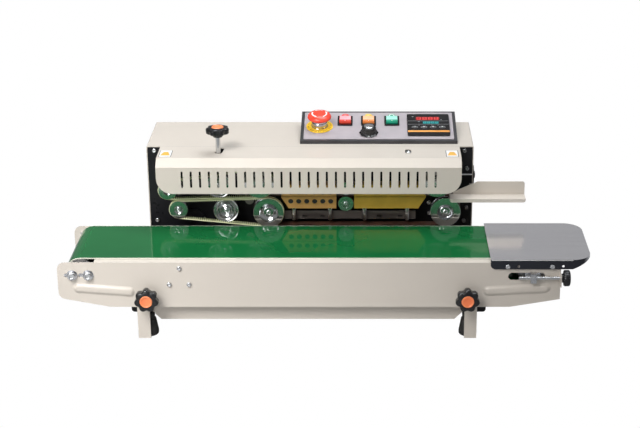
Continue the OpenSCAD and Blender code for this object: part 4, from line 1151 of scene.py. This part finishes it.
# Bright edges of the dark brackets: a long one on the shelf, a short one at the right
SHELF_EDGE, SHELF_Y = (-71, 131.0, 149, 131.7), 30
BRACKET_EDGE, BRACKET_Y = (222, 201.9, 244, 203.9), 50


def bright_trim():
    """Posts and bright edges of the brackets, with a painted highlight on the right one, a painted
    highlight along the plate's front bend, and the cover's seam.
    """
    bm = bmesh.new()
    for x in POST_X:
        lathe(bm, POST, at_mm(x, POST_Y, 0, UP, BACK), 32)
    prism(bm, rectangle(*SHELF_EDGE), at_mm(0, SHELF_Y, 0), 0, 0.12)
    face = at_mm(0, BRACKET_Y, 0)
    prism(bm, rectangle(*BRACKET_EDGE), face, -8, -0.4)
    piece("bracket_trim", bm, "bright_steel", ROOT, angle=40)
    # Painted highlight: a matte white strip on the front of the right bracket's steel edge
    strip = prism(bmesh.new(), rectangle(*BRACKET_EDGE), face, -0.5, 0.12)
    piece("bracket_edge_highlight", strip, "label_white", ROOT)
    # Painted highlight: a white line along the bend at the top of the loading plate's front flange
    low, high = span("loading_plate")
    line = rectangle(low.x + 1.5, high.z - 1.4, high.x - 30, high.z - 0.35)
    bend_highlight = prism(bmesh.new(), line, at_mm(0, low.y, 0), *INK)
    piece("loading_plate_bend_highlight", bend_highlight, "white_mark", "conveyor")
    low, high = span("front_cover")
    line = rectangle(low.x, high.y - 0.45, high.x, high.y - 0.05)
    seam = prism(bmesh.new(), line, at_mm(0, 0, HEAD_TOP, UP, BACK), -0.1, 0.04)
    piece("cover_seam", seam, "cast_alloy", ROOT)


BORE_ROWS = (165.8, 182.3)
BORE_PITCH = 13.36
BORE_Y = 22
BORE_SHADE = ((0, 0), (4.35, 0), (4.35, -0.6), (0, -0.6))


def cooling_bores():
    """Painted shade: black discs set deep in the cross bores of the cooling blocks."""
    first = span("cooling_blocks")[0].x + 16
    bm = bmesh.new()
    for row in BORE_ROWS:
        for i in range(6):
            lathe(bm, BORE_SHADE, at_mm(first + i * BORE_PITCH, BORE_Y, row), 28)
    piece("cooling_bore_shade", bm, "mark_black", ROOT)


# The tension knob's radius and distance from its outer end
TENSION_GRIP = ((0, 0), (9.5, 0), (11.8, 0.8), (12.9, 2.4), (12.9, 8.6), (11.8, 10.2),
                (8.6, 10.6), (7.2, 11.4), (7.0, 14.2), (0, 14.2))


def tension_parts():
    low, high = span("tension_knob")
    _, y, z = centre(low, high)
    end = high.x

    def ridges(a, r, h):
        return r - 0.5 * wave(24, a) if r > 12 else r

    axis = at_mm(0, y, z, RIGHT)
    turned("tension_knob_grip", [(r, end - h) for r, h in TENSION_GRIP], axis, 192,
           "knob_black", "tension_knob", ridges, replaces=("tension_knob",), angle=40)
    rod = [(0, end - 13.6), (2.5, end - 13.6), (2.5, low.x + 0.6), (1.9, low.x), (0, low.x)]
    turned("tension_rod", rod, axis, 32, "bright_steel", "tension_knob")
    low, high = span("tray_knob")
    _, y, z = centre(low, high)
    bm = socket_head(bmesh.new(), at_mm(high.x - 0.1, y, z, RIGHT), 4.6, 0.9, 2.0, 0.1)
    piece("tray_knob_centre", bm, "bright_steel", "tray_knob")


# The side panel's raised ribs: their ends in X and Z, and the radius at each height
RIBS = (((-387.7, 88.6), (-307.4, 82.2)), ((259, 83.2), (348, 88.7)))
RIB_LEVELS = ((9.6, -0.1), (9.0, 0.05), (8.0, 0.35), (6.8, 0.95), (5.8, 1.7), (5.0, 2.35),
              (3.8, 2.8), (2.5, 3.05), (1.0, 3.1))


def pillow(bm, a, b):
    """Soft raised rib: round-ended outlines that shrink towards its crest."""
    a, b = Vector(a), Vector(b)
    turn = math.atan2((b - a).y, (b - a).x)
    rings = []
    for r, h in RIB_LEVELS:
        ring = []
        for c, start in ((b, turn - math.pi / 2), (a, turn + math.pi / 2)):
            for i in range(13):
                t = start + math.pi * i / 12
                ring.append(bm.verts.new(Vector((c.x + r * math.cos(t), PANEL_FRONT - h,
                                                 c.y + r * math.sin(t))) * MM))
        rings.append(ring)
    for p, q in zip(rings, rings[1:]):
        skirt(bm, p, q)
    bm.faces.new(rings[-1])


def panel_ribs():
    bm = bmesh.new()
    for a, b in RIBS:
        pillow(bm, a, b)
    piece("panel_ribs", bm, "beige_paint", "conveyor", angle=60)


LABELS = (("left", -265.0), ("right", 207.8))
LABEL_Y = 20.3
LABEL_WIDE, LABEL_DEEP = 20.6, 32.2


def labels():
    """Two blank labels on the cover's top: a thin dark frame round white, with an orange patch."""
    for name, x in LABELS:
        place = at_mm(x, LABEL_Y, HEAD_TOP, UP, BACK)
        frame_line = rounded_rect(LABEL_WIDE, LABEL_DEEP, 0.6, 2)
        piece("label_frame_" + name, prism(bmesh.new(), frame_line, place, -0.05, 0.12),
              "mark_black", ROOT)
        inside = rounded_rect(LABEL_WIDE - 1.8, LABEL_DEEP - 1.0, 0.5, 2)
        piece("label_" + name, prism(bmesh.new(), inside, place, 0.0, 0.2), "label_white", ROOT)
        patch = [(-8.0, -9.5), (8.0, -9.5), (3.6, 8.0), (-3.6, 8.0)]
        piece("label_bar_" + name, prism(bmesh.new(), patch, place, 0.1, 0.28),
              "label_orange_bar", ROOT)


INLET_PINS = ((-5.5, 5.5), (0, 8.5), (5.5, 5.5))


def inlet_details():
    low, high = span("power_inlet")
    x, _, z = centre(low, high)
    bm = bmesh.new()
    for dx, dz in INLET_PINS:
        prism(bm, rectangle(dx - 0.9, dz - 2.4, dx + 0.9, dz + 2.4),
              at_mm(x, high.y - 14, z, BACK), 0, 11)
    piece("inlet_pins", bm, "bright_steel", ROOT)
    bm = prism(bmesh.new(), rounded_rect(20, 8, 1, 3), at_mm(x, high.y - 1, z - 14, BACK), 0, 1)
    piece("inlet_fuse_drawer", bm, "black_plastic", ROOT, edge=0.3 * MM)


make_materials()
make_camera()
make_light()
make_stage()
dress_cad()
star_knobs()
wheels()
belts()
emergency_stop()
rockers()
speed_knob()
controller()
screw_caps()
bright_trim()
cooling_bores()
tension_parts()
panel_ribs()
labels()
inlet_details()
